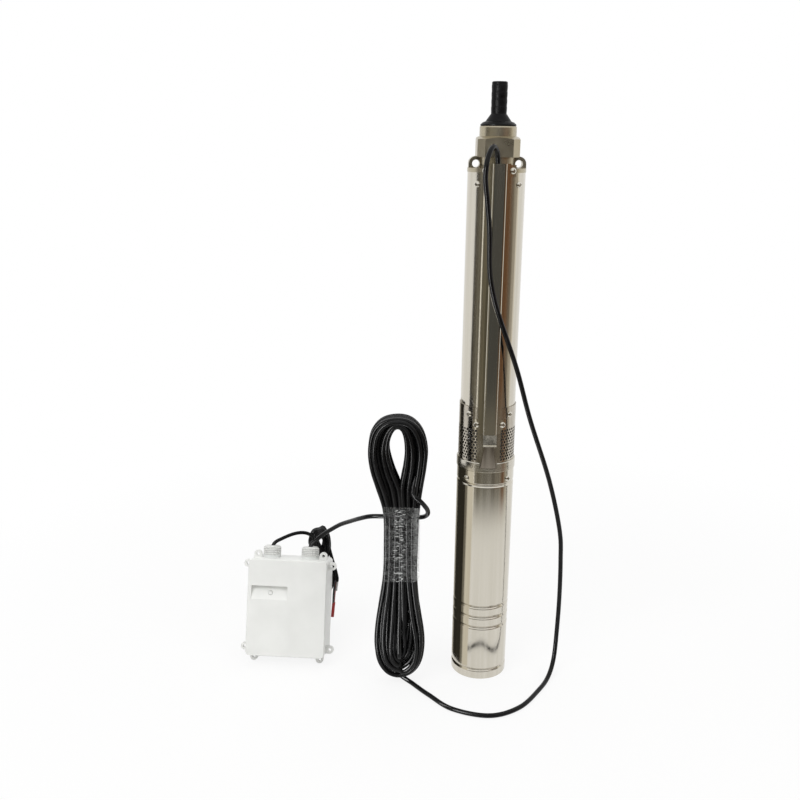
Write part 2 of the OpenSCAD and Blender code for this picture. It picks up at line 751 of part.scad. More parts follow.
module outlet_head() color(nickel) difference() {
    spigot_z = carrier_z + carrier_h + touch;
    union() {
        ring(0, tube_ir - slip, spigot_z, head_z);
        ring(0, tube_r + 0.4, head_z, head_z + collar_h);
        ring(0, waist_r, head_z + collar_h - touch, wrench_z + touch);
        for (turn = [0, 180]) rotate(turn) rope_lug();
        intersection() {
            translate([0, 0, wrench_z]) linear_extrude(wrench_h) intersection() {
                square(wrench_af, center = true);
                rotate(45) square(wrench_corner, center = true);
            }
            rotate_extrude() polygon([
                [0, wrench_z], [wrench_trim_r - 1.5, wrench_z], [wrench_trim_r, wrench_z + 1.5],
                [wrench_trim_r, neck_z - wrench_chamfer], [neck_od / 2 + 0.6, neck_z], [0, neck_z]]);
        }
        rotate_extrude() polygon([
            [0, neck_z - touch], [neck_od / 2, neck_z - touch], [neck_od / 2, neck_top - 2],
            [neck_od / 2 - 0.5, neck_top - 0.7], [neck_od / 2 - 1.5, neck_top], [0, neck_top]]);
    }
    rotate_extrude() polygon([
        [0, spigot_z - 1], [cavity_r, spigot_z - 1], [cavity_r, head_z - 20],
        [seat_bore / 2, head_z - 4], [seat_bore / 2, seat_z], [chamber_r, seat_z],
        [chamber_r, seat_z + chamber_h - 2], [outlet_bore / 2, seat_z + chamber_h],
        [outlet_bore / 2, neck_top + 1], [0, neck_top + 1]]);
    radial_holes(screw_angles, upper_screw_z, screw_d + 2 * fit_hole, tube_r - screw_len - 1, tube_r);
    radial_holes(ear_angles, ear_top_z, screw_d + 2 * fit_hole, guard_out - screw_len - 1, guard_out);
    for (x = [-rope_x, rope_x]) translate([x, 0, lug_z]) rotate([90, 0, 0])
        cylinder(d = rope_hole, h = rope_lug_t + 40, center = true);
}

module valve_poppet() color(black) translate([0, 0, seat_z + touch]) {
    wing_r = seat_bore / 2 - wing_clear;
    wing_t = 2.4;
    boss_r = 5;
    cylinder(r = seat_bore / 2 + poppet_lap, h = poppet_t);
    translate([0, 0, poppet_t]) cylinder(r1 = boss_r, r2 = boss_r - 1.5, h = poppet_t);
    intersection() {
        for (turn = [0, 120, 240]) rotate(turn) translate([0, -wing_t / 2, -wing_h])
            cube([seat_bore, wing_t, wing_h + touch]);
        translate([0, 0, -wing_h]) cylinder(r = wing_r, h = wing_h + 1);
    }
}

module hose_tail() color(black) difference() {
    flange_r = tail_flange_d / 2;
    crest = barb_d / 2;
    plug_r = outlet_bore / 2 - slip;
    cone_z = neck_top + tail_flange_h;
    tail_end = barb_z + barb_count * barb_pitch + 3.5;
    rotate_extrude() polygon(concat(
        [[0, neck_top - tail_plug_h], [plug_r, neck_top - tail_plug_h], [plug_r, neck_top],
         [flange_r, neck_top], [flange_r, neck_top + 1.4], [flange_r - 3, cone_z - 1],
         [flange_r - 6, cone_z], [crest - barb_dip, barb_z]],
        [for (i = [0 : barb_count - 1]) let(z = barb_z + i * barb_pitch) each [
            [crest - barb_dip, z + 2], [crest, z + barb_pitch - barb_land - 1],
            [crest, z + barb_pitch - 1], [crest - barb_dip, z + barb_pitch]]],
        [[crest - barb_dip, tail_end - 1], [crest - barb_dip - 1, tail_end], [0, tail_end]]));
    translate([0, 0, neck_top - tail_plug_h - 1])
        cylinder(d = tail_bore, h = tail_plug_h + 2 * tail_flange_d + barb_count * barb_pitch);
}

// Cable guard

module guard_crown(w, y) {
    round = 2.5;
    translate([-w / 2, -y + round]) square([w, y - 30]);
    translate([-w / 2 + round, -y]) square([w - 2 * round, round]);
    for (x = [-w / 2 + round, w / 2 - round]) translate([x, -y + round]) circle(round);
}

module guard_flange(half) {
    intersection() {
        circle(guard_out);
        front_sector(half);
    }
}

// Hat section of the guard, with flanges as wide as the angle half
module guard_section(half, crown) {
    difference() {
        union() {
            if (crown) guard_crown(guard_w, crown_out);
            guard_flange(half);
        }
        circle(guard_in);
        guard_crown(guard_w - 2 * guard_t, crown_in);
    }
}

module cable_guard() color(steel) difference() {
    union() {
        translate([0, 0, lip_z]) linear_extrude(guard_top - lip_z) guard_section(guard_flange_half, true);
        for (z = [ear_low_z, ear_top_z]) translate([0, 0, z - ear_h / 2])
            linear_extrude(ear_h) guard_section(ear_half, false);
        translate([-guard_w / 2, 0, 0]) rotate([90, 0, 90]) linear_extrude(guard_w) {
            polygon([
                [-crown_out, lip_z + 1], [-crown_out - lip_out, guard_low], [-crown_out - lip_out + guard_t, guard_low],
                [-crown_in, lip_z - 1], [-crown_in, lip_z + 1]]);
            translate([-crown_out - lip_out + 0.3, guard_low]) circle(lip_roll);
        }
        for (x = [-guard_w / 2, guard_w / 2 - guard_t]) translate([x, 0, 0]) rotate([90, 0, 90])
            linear_extrude(guard_t) polygon([
                [-guard_in - 2, lip_z + 1], [-guard_in - 2, lip_z - 1], [-crown_out - lip_out, guard_low],
                [-crown_out, lip_z + 1]]);
    }
    radial_holes(ear_angles, ear_low_z, screw_d + 2 * sheet_hole, guard_in - 1, guard_out + 1);
    radial_holes(ear_angles, ear_top_z, screw_d + 2 * sheet_hole, guard_in - 1, guard_out + 1);
    translate([-window_w / 2, -crown_out - 1, lip_z + 1.5]) cube([window_w, 1 + window_deep, window_h]);
}

// Tapering body of the guard's foot, from the guard's lower end to the notch in the flange
module foot_body(skin) {
    thin = 0.1;
    low_r = foot_low_r - skin;
    top_r = foot_top_r - skin;
    hull() {
        translate([0, 0, foot_z - (skin > 0 ? 1 : 0)]) linear_extrude(thin) intersection() {
            circle(low_r, $fn = 48);
            translate([-notch_w / 2 + 0.5 + skin, -low_r]) square([notch_w - 1 - 2 * skin, low_r - guard_in + 3]);
        }
        translate([0, 0, foot_top - thin + (skin > 0 ? 1 : 0)]) linear_extrude(thin) intersection() {
            circle(top_r, $fn = 48);
            translate([-foot_top_half + skin, -top_r]) square([2 * (foot_top_half - skin), top_r - guard_in + 3]);
        }
    }
}

module guard_foot() color(steel) difference() {
    foot_body(0);
    foot_body(guard_t);
    translate([0, 0, foot_z - 2]) cylinder(r = guard_in, h = foot_top - foot_z + 4);
}

module riser_cable() color(black) cord([
    [0, -plug_y, strainer_z - plug_h + touch], [0, -plug_y, strainer_z + 2], [0, -plug_y, strainer_z + 8],
    [0, -plug_y - 1.8, strainer_z + 19], [0, -(plug_y + riser_y) / 2 + 0.5, guard_low + 3],
    [0, -riser_y + 0.9, guard_low + 12], [0, -riser_y, guard_low + 21], [0, -riser_y, guard_low + 33],
    [0, -riser_y, guard_low + 52], [0, -riser_y, guard_low + 84], [0, -riser_y, guard_low + 135],
    [0, -riser_y, guard_top - 120], [0, -riser_y, guard_top - 60], [-1.2, -riser_y, guard_top - 25],
    [-2.6, -riser_y, guard_top]], cable_d);

module guard_screws() color(steel)
    for (a = ear_angles, z = [ear_low_z, ear_top_z]) at_angle(a, guard_out, z) pan_screw();

module shell_screws() color(steel) for (a = screw_angles) {
    at_angle(a, strainer_r, lower_screw_z) pan_screw();
    at_angle(a, tube_r, upper_screw_z) pan_screw();
}

// Control box, drawn with its front at y = 0 and its bottom at z = 0

module box_place() {
    translate(box_pos) rotate(box_yaw) rotate([-box_lean, 0, 0]) children();
}

// Plate with the box's outline, from depth y1 to depth y2, inset all round
module box_plate(y1, y2, inset) {
    translate([0, y2, inset]) rotate([90, 0, 0]) linear_extrude(y2 - y1)
        rounded_rect(box_w - 2 * inset, box_h - 2 * inset, corner_r - min(inset, corner_r - 1.5));
}

module post_places() {
    inset = box_wall + post_r - 0.5;
    for (x = [-box_w / 2 + inset, box_w / 2 - inset], z = [inset, box_h - inset])
        translate([x, 0, z]) children();
}

// Round tab that reaches out along +X from x = 0
module lug() {
    reach = lug_out - lug_w / 2;
    translate([0, lug_back, 0]) rotate([90, 0, 0]) linear_extrude(lug_t) difference() {
        union() {
            translate([-box_wall, -lug_w / 2]) square([reach + box_wall, lug_w]);
            translate([reach, 0]) circle(d = lug_w);
        }
        translate([reach, 0]) circle(d = lug_hole);
    }
}

module box_base() color(white) box_place() difference() {
    side = box_w / 2;
    union() {
        difference() {
            box_plate(lid_d, box_d, 0);
            box_plate(lid_d - 1, box_d - box_wall, box_wall);
        }
        post_places() translate([0, lid_d, 0]) rotate([-90, 0, 0]) cylinder(r = post_r, h = box_d - lid_d);
        for (z = [side_lug_in, box_h - side_lug_in]) {
            translate([side, 0, z]) lug();
            mirror([1, 0, 0]) translate([side, 0, z]) lug();
        }
        for (x = [-side + end_lug_in, side - end_lug_in]) {
            translate([x, 0, 0]) rotate([0, 90, 0]) lug();
            translate([x, 0, box_h]) rotate([0, -90, 0]) lug();
        }
    }
    post_places() {
        translate([0, lid_d - 1, 0]) rotate([-90, 0, 0]) cylinder(d = lid_screw_d + 2 * sheet_hole, h = box_d);
        translate([0, box_d - 6, 0]) rotate([-90, 0, 0]) cylinder(d = lid_screw_head + 1, h = box_d);
    }
    for (x = gland_xs) translate([x, gland_y, box_h - box_wall - 1])
        cylinder(d = gland_thread + 2 * sheet_hole, h = box_wall + 2);
}

// Wedge of the pocket, deep at its top, drawn larger all round by skin
module pocket(skin) {
    left = -box_w / 2 + pocket_left;
    top = box_h - pocket_down;
    translate([left - skin, 0, 0]) rotate([90, 0, 90]) linear_extrude(pocket_w + 2 * skin)
        polygon([
            [skin > 0 ? box_wall : -1, top + skin], [pocket_deep + skin, top + skin],
            [skin > 0 ? box_wall : -1, top - pocket_h - (skin > 0 ? 0 : pocket_h / pocket_deep)]]);
}

module button_place() {
    translate([-box_w / 2 + pocket_left + pocket_w / 2 + button_side, 0, box_h - pocket_down - button_down])
        rotate([-90, 0, 0]) children();
}

module box_lid() color(white) box_place() difference() {
    union() {
        difference() {
            hull() {
                box_plate(lid_bevel, lid_d - touch, 0);
                box_plate(0, lid_d - touch - 1, lid_bevel * 0.6);
            }
            box_plate(box_wall, lid_d + 1, box_wall);
        }
        post_places() translate([0, box_wall - touch, 0]) rotate([-90, 0, 0])
            cylinder(r = post_r, h = lid_d - box_wall);
        pocket(pocket_skin);
    }
    pocket(0);
    button_place() translate([0, 0, -1]) cylinder(d = button_d + 4 * sheet_hole, h = 2 * pocket_deep + 4);
    post_places() translate([0, box_wall + 0.5, 0]) rotate([-90, 0, 0])
        cylinder(d = lid_screw_d + 2 * fit_hole, h = lid_d);
}

module reset_button() color(white) box_place() button_place() {
    floor_y = pocket_deep * (1 - button_down / pocket_h);
    front_y = floor_y - button_proud;
    rim_z = pocket_deep + pocket_skin + 0.6;
    difference() {
        translate([0, 0, front_y]) cylinder(d = button_d, h = rim_z - front_y + 3);
        translate([0, 0, front_y - 1]) difference() {
            cylinder(d = button_d + 1, h = 2);
            cylinder(d1 = button_d - 2.4, d2 = button_d + 0.4, h = 2);
        }
    }
    translate([0, 0, rim_z]) cylinder(d = button_d + 2 * button_rim, h = 1.6);
}

module lid_screws() color(steel) box_place() post_places() rotate([-90, 0, 0]) {
    tip = box_wall + 1;
    translate([0, 0, tip]) cylinder(d = lid_screw_d, h = box_d - 6 - tip);
    translate([0, 0, box_d - 6]) difference() {
        cylinder(d = lid_screw_head, h = 2.5);
        for (turn = [0, 90]) rotate(turn) translate([-2, -0.5, 1.2]) cube([4, 1, 2]);
    }
}

module gland_place() {
    for (i = [0, 1]) translate([gland_xs[i], gland_y, box_h]) children(i);
}

module gland_body(cord_d) {
    bore = cord_d + 0.8;
    difference() {
        union() {
            translate([0, 0, -box_wall - 8]) cylinder(d = gland_thread, h = box_wall + 8);
            cylinder(d = gland_d, h = gland_collar_h);
            cylinder(d = gland_thread, h = gland_collar_h + gland_nut_h * 0.6);
            translate([0, 0, -box_wall - 6]) cylinder(d = gland_d, h = 5.8, $fn = 6);
        }
        translate([0, 0, -box_wall - 9]) cylinder(d = bore, h = 60);
    }
}

module gland_bodies() color(white) box_place() gland_place() {
    gland_body(lead_d);
    gland_body(cable_d);
}

module gland_nut(cord_d) {
    bore = cord_d + 0.8;
    low = gland_collar_h + touch;
    thread_top = gland_collar_h + gland_nut_h * 0.6;
    flute = 1.1;
    difference() {
        rotate_extrude() polygon([
            [bore / 2, thread_top + 1], [gland_thread / 2 + fit_hole, thread_top + 1],
            [gland_thread / 2 + fit_hole, low], [gland_d / 2, low],
            [gland_d / 2, low + gland_nut_h - 2.5], [gland_d / 2 - 2, low + gland_nut_h - 0.4],
            [gland_d / 2 - 3.5, low + gland_nut_h], [bore / 2, low + gland_nut_h]]);
        for (i = [0 : gland_flutes - 1]) rotate(i * 360 / gland_flutes)
            translate([gland_d / 2 + 0.3, 0, low + 2]) cylinder(r = flute, h = gland_nut_h);
    }
}

module gland_nuts() color(white) box_place() gland_place() {
    gland_nut(lead_d);
    gland_nut(cable_d);
}

module run_capacitor() color(black) box_place()
    translate([12, box_d - box_wall - touch - capacitor_d / 2, 22]) {
        cylinder(d = capacitor_d, h = capacitor_h);
        for (x = [-6, 6]) translate([x - 3, -0.4, capacitor_h]) cube([6, 0.8, 9]);
    }

// Cables

module pump_cable() color(black) cord(cable_route, cable_d, 2);
module box_cable() color(black) cord(box_route, cable_d, 2);
module mains_lead() color(black) cord(lead_route, lead_d, 2);

module core_ends() {
    color(black) cord(tail_route, lead_d, 2);
    for (i = [0 : 2]) color(core_colors[i]) cord(core_routes[i], core_d, 2, 8);
}

// Outline of the standing hank: a round foot, a straight waist and a wide loop at the top
module hank_outline() {
    waist = [hank_waist_x - hank_waist_half, hank_waist_x + hank_waist_half];
    foot_half = hank_foot_r * 0.995;
    loop_half = hank_loop_r * 0.995;
    translate(hank_foot) circle(hank_foot_r);
    translate(hank_loop) circle(hank_loop_r);
    polygon([
        [hank_foot[0] - foot_half, hank_foot[1] + 4], [hank_foot[0] + foot_half, hank_foot[1] + 4],
        [waist[1], hank_waist_low], [waist[1], hank_waist_high],
        [hank_loop[0] + loop_half, hank_loop[1] - 5], [hank_loop[0] - loop_half, hank_loop[1] - 5],
        [waist[0], hank_waist_high], [waist[0], hank_waist_low]]);
}

// The turns at the front of the hank stand a little higher than the turns it rests on
module cable_hank() color(black) difference() {
    reach = hank_t + 10;
    translate([0, hank_y + hank_t / 2, 0]) rotate([90, 0, 0]) linear_extrude(hank_t) difference() {
        hank_outline();
        translate(hank_eye) circle(hank_eye_r);
        polygon([
            [hank_eye[0] - hank_eye_r * 0.99, hank_eye[1] - 2], [hank_eye[0] + hank_eye_r * 0.99, hank_eye[1] - 2],
            [hank_waist_x - 4, hank_eye_low]]);
    }
    translate([hank_foot[0] - 2 * hank_foot_r, 0, 0]) rotate([90, 0, 90]) linear_extrude(4 * hank_foot_r) polygon([
        [hank_tip_y, -1], [hank_tip_y, 0], [hank_tip_y - reach, reach * hank_tip], [hank_tip_y - reach, -1]]);
}

module wrap_section(room) {
    translate([hank_waist_x - hank_waist_half - room, hank_y - hank_t / 2 - room])
        square([2 * (hank_waist_half + room), hank_t + 2 * room]);
}

module hank_wrap() color([0.8, 0.82, 0.84]) translate([0, 0, wrap_low]) linear_extrude(wrap_high - wrap_low)
    difference() {
        wrap_section(wrap_gap + wrap_t);
        wrap_section(wrap_gap);
    }

module mains_hank() color(black)
    translate([0, mains_hank_y + mains_hank_t / 2, 0]) rotate([90, 0, 0]) linear_extrude(mains_hank_t) {
        translate([mains_hank_x, 0]) rounded_rect(mains_hank_w, mains_hank_h, mains_hank_w / 2 - 0.01);
        translate(mains_loop) circle(mains_loop_r);
    }

hose_tail();
outlet_head();
valve_poppet();
top_bearing_carrier();
top_bearing_bush();
pump_shaft();
shaft_coupling();
intake_bracket();
bracket_bolts();
inlet_strainer();
pump_tube();
cable_guard();
guard_foot();
riser_cable();
guard_screws();
shell_screws();
motor_screws();
motor_flange();
shaft_seal();
upper_bearing();
motor_tube();
stator_core();
stator_winding();
rotor_core();
motor_shaft();
lower_bearing();
lower_bearing_housing();
base_cap();
box_base();
box_lid();
lid_screws();
gland_bodies();
gland_nuts();
reset_button();
run_capacitor();
pump_cable();
cable_hank();
hank_wrap();
box_cable();
mains_lead();
mains_hank();
core_ends();
for (i = [1 : stage_count]) stage_bowl(i);
for (i = [1 : stage_count]) impeller(i);
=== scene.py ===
# %% [markdown]
# A borehole pump with its cable and control box
#
# The pump is a slim polished tube that hangs in a well. The solid model already holds every rigid
# piece at its real size, so this script keeps those pieces and gives them their finishes. It makes
# anew only what a solid can't show: the coiled cable, the film round its waist, the fine holes of
# the inlet strainer and the thin cores of the mains lead.

# %% Load the frame
import bpy
import numpy as np
from mathutils import Matrix, Vector


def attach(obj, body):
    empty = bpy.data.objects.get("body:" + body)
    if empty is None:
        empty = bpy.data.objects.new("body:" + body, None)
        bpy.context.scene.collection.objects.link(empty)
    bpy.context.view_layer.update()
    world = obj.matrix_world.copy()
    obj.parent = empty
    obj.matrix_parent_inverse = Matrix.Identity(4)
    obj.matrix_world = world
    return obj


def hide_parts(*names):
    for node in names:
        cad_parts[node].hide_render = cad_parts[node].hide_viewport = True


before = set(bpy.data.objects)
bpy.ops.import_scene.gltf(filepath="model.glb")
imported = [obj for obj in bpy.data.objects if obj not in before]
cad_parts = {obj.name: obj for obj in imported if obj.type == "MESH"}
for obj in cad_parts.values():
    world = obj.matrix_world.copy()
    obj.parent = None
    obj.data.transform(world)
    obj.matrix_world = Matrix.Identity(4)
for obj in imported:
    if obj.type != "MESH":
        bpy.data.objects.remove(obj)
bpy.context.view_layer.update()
scene = bpy.context.scene
MM = 0.001

# %% [markdown]
# The camera
#
# It stands a little above the outlet and looks down at the pump, so that upright edges lean
# slightly. Its three directions are worked out as vectors and put in a matrix, which is easier to
# check than three angles.

# %% Camera
CAMERA_AT = (-0.116, -1.222, 0.730)
LOOK_DOWN = np.radians(15.5)
ROLL = np.radians(0.74)
forward = np.array([0.0, np.cos(LOOK_DOWN), -np.sin(LOOK_DOWN)])
level = np.array([1.0, 0.0, 0.0])
right = np.cos(ROLL) * level + np.sin(ROLL) * np.cross(level, forward)
above = np.cross(right, forward)
camera_data = bpy.data.cameras.new("camera")
camera_data.sensor_width = 36.0
camera_data.lens = 43.2
camera = bpy.data.objects.new("camera", camera_data)
scene.collection.objects.link(camera)
turn = Matrix(np.column_stack([right, above, -forward]).tolist()).to_4x4()
camera.matrix_world = Matrix.Translation(CAMERA_AT) @ turn
scene.camera = camera
print("camera at", CAMERA_AT)

# %% [markdown]
# Surfaces from arrays
#
# Every new piece here is a grid of points: one parameter runs round a section and the other along a
# path. The grid becomes a mesh in one go, so no point is handled by itself.


# %% Grid to mesh
def grid_faces(rows, columns, closed):
    """Quads between neighbouring rows and columns of a grid; closed joins the last column to the first."""
    r = np.arange(rows - 1)[:, None]
    c = np.arange(columns if closed else columns - 1)[None, :]
    n = (c + 1) % columns
    quads = np.stack(np.broadcast_arrays(
        r * columns + c, r * columns + n, (r + 1) * columns + n, (r + 1) * columns + c), axis=-1)
    return quads.reshape(-1, 4)


def mesh_object(name, points, faces, material):
    """A mesh object at the origin from an array of points and a list of faces."""
    mesh = bpy.data.meshes.new(name)
    mesh.from_pydata(np.asarray(points).reshape(-1, 3).tolist(), [], [list(map(int, f)) for f in faces])
    mesh.materials.append(material)
    thing = bpy.data.objects.new(name, mesh)
    scene.collection.objects.link(thing)
    return thing


def make_piece(name, points, faces, material, body):
    """A smooth piece of the object that rides on a body."""
    piece = mesh_object(name, points, faces, material)
    piece.data.polygons.foreach_set("use_smooth", np.full(len(piece.data.polygons), True))
    piece.data.update()
    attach(piece, body)
    print(name, len(piece.data.vertices), "points")
    return piece


# %% [markdown]
# Finishes
#
# A few effects are shared by the finishes. Polish lines are long streaks that the roller leaves on
# drawn metal; mottle is the slight unevenness of moulded plastic and rubber; ribs are the grip rings of
# the cable glands, with painted shade darkening their grooves. Each is a node group with named inputs, so
# that a finish only sets how strong and how fine it is.


# %% Shared effects
def new_group(name, inputs, outputs):
    """An empty shader group with float inputs and outputs, and its two end nodes."""
    group = bpy.data.node_groups.new(name, "ShaderNodeTree")
    for label, value in inputs:
        socket = group.interface.new_socket(label, in_out="INPUT", socket_type="NodeSocketFloat")
        socket.default_value = value
    for label in outputs:
        group.interface.new_socket(label, in_out="OUTPUT", socket_type="NodeSocketFloat")
    return group, group.nodes.new("NodeGroupInput"), group.nodes.new("NodeGroupOutput")


def math_node(tree, operation, a, b):
    """A math node whose two inputs are sockets or plain numbers; returns its output."""
    node = tree.nodes.new("ShaderNodeMath")
    node.operation = operation
    for socket, value in zip(node.inputs, (a, b)):
        if isinstance(value, (int, float)):
            socket.default_value = value
        else:
            tree.links.new(value, socket)
    return node.outputs[0]


def map_range(tree, source, start, end, low=0.0, high=1.0):
    """Maps a value from start..end to low..high; returns the output."""
    node = tree.nodes.new("ShaderNodeMapRange")
    for label, value in zip(("From Min", "From Max", "To Min", "To Max"), (start, end, low, high)):
        node.inputs[label].default_value = value
    tree.links.new(source, node.inputs["Value"])
    return node.outputs["Result"]


def noise_node(tree, place, scale, detail, distortion=0.0):
    """Noise at a place; scale is a socket or a plain number. Returns its value."""
    node = tree.nodes.new("ShaderNodeTexNoise")
    node.inputs["Detail"].default_value = detail
    node.inputs["Distortion"].default_value = distortion
    tree.links.new(place, node.inputs["Vector"])
    if isinstance(scale, (int, float)):
        node.inputs["Scale"].default_value = scale
    else:
        tree.links.new(scale, node.inputs["Scale"])
    return node.outputs["Fac"]


def stretched(tree, place, scale, rotation=(0.0, 0.0, 0.0)):
    """A place scaled along its axes and turned; returns the vector."""
    node = tree.nodes.new("ShaderNodeMapping")
    node.inputs["Scale"].default_value = scale
    node.inputs["Rotation"].default_value = rotation
    tree.links.new(place, node.inputs["Vector"])
    return node.outputs["Vector"]


def new_material(name):
    """A material with nodes; returns it, its tree and its shader."""
    material = bpy.data.materials.new(name)
    material.use_nodes = True
    return material, material.node_tree, material.node_tree.nodes["Principled BSDF"]


def streak_group():
    """Polish lines: noise stretched along Z, as a mask about one half and a fine height."""
    group, ends_in, ends_out = new_group(
        "polish_lines", [("Fineness", 260.0), ("Stretch", 0.03)], ["Mask", "Height"])
    place = group.nodes.new("ShaderNodeTexCoord")
    squeeze = group.nodes.new("ShaderNodeCombineXYZ")
    squeeze.inputs[0].default_value = 1.0
    squeeze.inputs[1].default_value = 1.0
    group.links.new(ends_in.outputs["Stretch"], squeeze.inputs[2])
    scaled = group.nodes.new("ShaderNodeVectorMath")
    scaled.operation = "MULTIPLY"
    group.links.new(place.outputs["Object"], scaled.inputs[0])
    group.links.new(squeeze.outputs[0], scaled.inputs[1])
    finer = math_node(group, "MULTIPLY", ends_in.outputs["Fineness"], 6.0)
    broad = noise_node(group, scaled.outputs[0], ends_in.outputs["Fineness"], 4.0)
    fine = noise_node(group, scaled.outputs[0], finer, 2.0)
    group.links.new(broad, ends_out.inputs["Mask"])
    group.links.new(fine, ends_out.inputs["Height"])
    return group


def mottle_group():
    """Mottle: even noise in all directions, as a mask about one half and a fine grain."""
    group, ends_in, ends_out = new_group("mottle", [("Scale", 60.0), ("Grain", 900.0)], ["Mask", "Height"])
    place = group.nodes.new("ShaderNodeTexCoord")
    for size, output, detail in (("Scale", "Mask", 3.0), ("Grain", "Height", 2.0)):
        noise = noise_node(group, place.outputs["Object"], ends_in.outputs[size], detail)
        group.links.new(noise, ends_out.inputs[output])
    return group


def rib_group():
    """Ribs across the leaning axis of the cable glands: one even wave, for the height and for painted shade
    that darkens the tone in the grooves.
    """
    group, ends_in, ends_out = new_group(
        "gland_ribs", [("Ribs", 125.0), ("Lean", 0.3143)], ["Mask", "Height"])
    place = group.nodes.new("ShaderNodeTexCoord")
    tilt = group.nodes.new("ShaderNodeCombineXYZ")
    group.links.new(ends_in.outputs["Lean"], tilt.inputs[0])
    upright = group.nodes.new("ShaderNodeMapping")
    group.links.new(place.outputs["Object"], upright.inputs["Vector"])
    group.links.new(tilt.outputs[0], upright.inputs["Rotation"])
    wave = group.nodes.new("ShaderNodeTexWave")
    wave.bands_direction = "Z"
    group.links.new(upright.outputs["Vector"], wave.inputs["Vector"])
    group.links.new(ends_in.outputs["Ribs"], wave.inputs["Scale"])
    group.links.new(wave.outputs["Fac"], ends_out.inputs["Mask"])
    group.links.new(wave.outputs["Fac"], ends_out.inputs["Height"])
    return group


POLISH_LINES = streak_group()
MOTTLE = mottle_group()
RIBS = rib_group()
print("groups", POLISH_LINES.name, MOTTLE.name, RIBS.name)


# %% [markdown]
# One function builds a finish from a group: the mask moves the colour between two tones and the
# roughness between two values, and the fine height gives a slight bump.


# %% Finish from a group
def make_finish(name, group, tones, rough, bump=0.0, depth=0.0002, metallic=0.0, spread=(0.35, 0.65),
                **settings):
    """A material whose colour and roughness follow a group's mask. settings are the group's inputs and,
    with names of shader sockets, constant values of the shader."""
    material, tree, shader = new_material(name)
    shader.inputs["Metallic"].default_value = metallic
    effect = tree.nodes.new("ShaderNodeGroup")
    effect.node_tree = group
    for label, value in settings.items():
        plain = label.replace("_", " ")
        target = effect if plain in effect.inputs else shader
        target.inputs[plain].default_value = value
    colour = tree.nodes.new("ShaderNodeValToRGB")
    colour.color_ramp.elements[0].position = spread[0]
    colour.color_ramp.elements[1].position = spread[1]
    for element, tone in zip(colour.color_ramp.elements, tones):
        element.color = (*tone, 1.0)
    tree.links.new(effect.outputs["Mask"], colour.inputs["Fac"])
    tree.links.new(colour.outputs["Color"], shader.inputs["Base Color"])
    shine = map_range(tree, effect.outputs["Mask"], *spread, *rough)
    tree.links.new(shine, shader.inputs["Roughness"])
    if bump:
        relief = tree.nodes.new("ShaderNodeBump")
        relief.inputs["Strength"].default_value = bump
        relief.inputs["Distance"].default_value = depth
        tree.links.new(effect.outputs["Height"], relief.inputs["Height"])
        tree.links.new(relief.outputs["Normal"], shader.inputs["Normal"])
    return material


def dress(material, *nodes):
    """Gives CAD nodes a finish by filling their material slots."""
    for name in nodes:
        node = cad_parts[name]
        for slot in node.material_slots:
            slot.material = material


# %% Metals
polished_tube = make_finish("polished_tube", POLISH_LINES, [(0.575, 0.54, 0.465), (0.65, 0.615, 0.54)],
                            (0.10, 0.20), bump=0.05, metallic=1.0, Fineness=120.0, Stretch=0.02)
polished_sheet = make_finish("polished_sheet", POLISH_LINES, [(0.58, 0.54, 0.45), (0.66, 0.62, 0.53)],
                             (0.06, 0.16), bump=0.05, metallic=1.0, Fineness=160.0, Stretch=0.03)
# The guard's foot is the same polished sheet as the guard; its darker, browner tones are a painted dark
# reflection.
foot_sheet_painted_dark = make_finish("foot_sheet_painted_dark", POLISH_LINES, [(0.27, 0.235, 0.195), (0.36, 0.32, 0.27)],
                         (0.08, 0.18), bump=0.05, metallic=1.0, Fineness=160.0, Stretch=0.03)
strainer_sheet = make_finish("strainer_sheet", POLISH_LINES, [(0.44, 0.405, 0.345), (0.55, 0.51, 0.44)],
                             (0.12, 0.25), bump=0.05, metallic=1.0, Fineness=200.0, Stretch=0.2)
satin_head = make_finish("satin_head", MOTTLE, [(0.43, 0.385, 0.285), (0.49, 0.44, 0.335)],
                         (0.27, 0.34), bump=0.12, metallic=1.0, Scale=40.0, Grain=1500.0)
turned_ring = make_finish("turned_ring", POLISH_LINES, [(0.56, 0.53, 0.46), (0.64, 0.61, 0.54)],
                          (0.18, 0.28), bump=0.03, metallic=1.0, Fineness=60.0, Stretch=12.0)
screw_metal = make_finish("screw_metal", MOTTLE, [(0.60, 0.57, 0.50), (0.70, 0.67, 0.60)],
                          (0.10, 0.22), bump=0.05, metallic=1.0, Scale=120.0)
shaft_metal = make_finish("shaft_metal", POLISH_LINES, [(0.50, 0.50, 0.49), (0.60, 0.60, 0.58)],
                          (0.18, 0.30), bump=0.05, metallic=1.0, Fineness=300.0, Stretch=6.0)
cast_metal = make_finish("cast_metal", MOTTLE, [(0.20, 0.20, 0.20), (0.30, 0.30, 0.30)],
                         (0.45, 0.62), bump=0.25, metallic=1.0, Scale=80.0, Grain=700.0)
stacked_sheet = make_finish("stacked_sheet", POLISH_LINES, [(0.16, 0.16, 0.17), (0.28, 0.28, 0.29)],
                            (0.40, 0.55), bump=0.3, metallic=1.0, Fineness=40.0, Stretch=40.0)
copper_wire = make_finish("copper_wire", POLISH_LINES, [(0.50, 0.20, 0.08), (0.70, 0.34, 0.16)],
                          (0.28, 0.42), bump=0.4, metallic=1.0, Fineness=300.0, Stretch=0.05)
dress(polished_tube, "pump_tube", "motor_tube")
dress(polished_sheet, "cable_guard")
dress(foot_sheet_painted_dark, "guard_foot")
dress(satin_head, "outlet_head")
dress(turned_ring, "motor_flange")
dress(screw_metal, "guard_screws", "shell_screws", "motor_screws", "bracket_bolts", "lid_screws")
dress(shaft_metal, "motor_shaft", "pump_shaft", "shaft_coupling", "upper_bearing", "lower_bearing")
dress(cast_metal, "intake_bracket", "top_bearing_carrier", "lower_bearing_housing", "base_cap")
dress(stacked_sheet, "stator_core", "rotor_core")
dress(copper_wire, "stator_winding")
print("metals done")

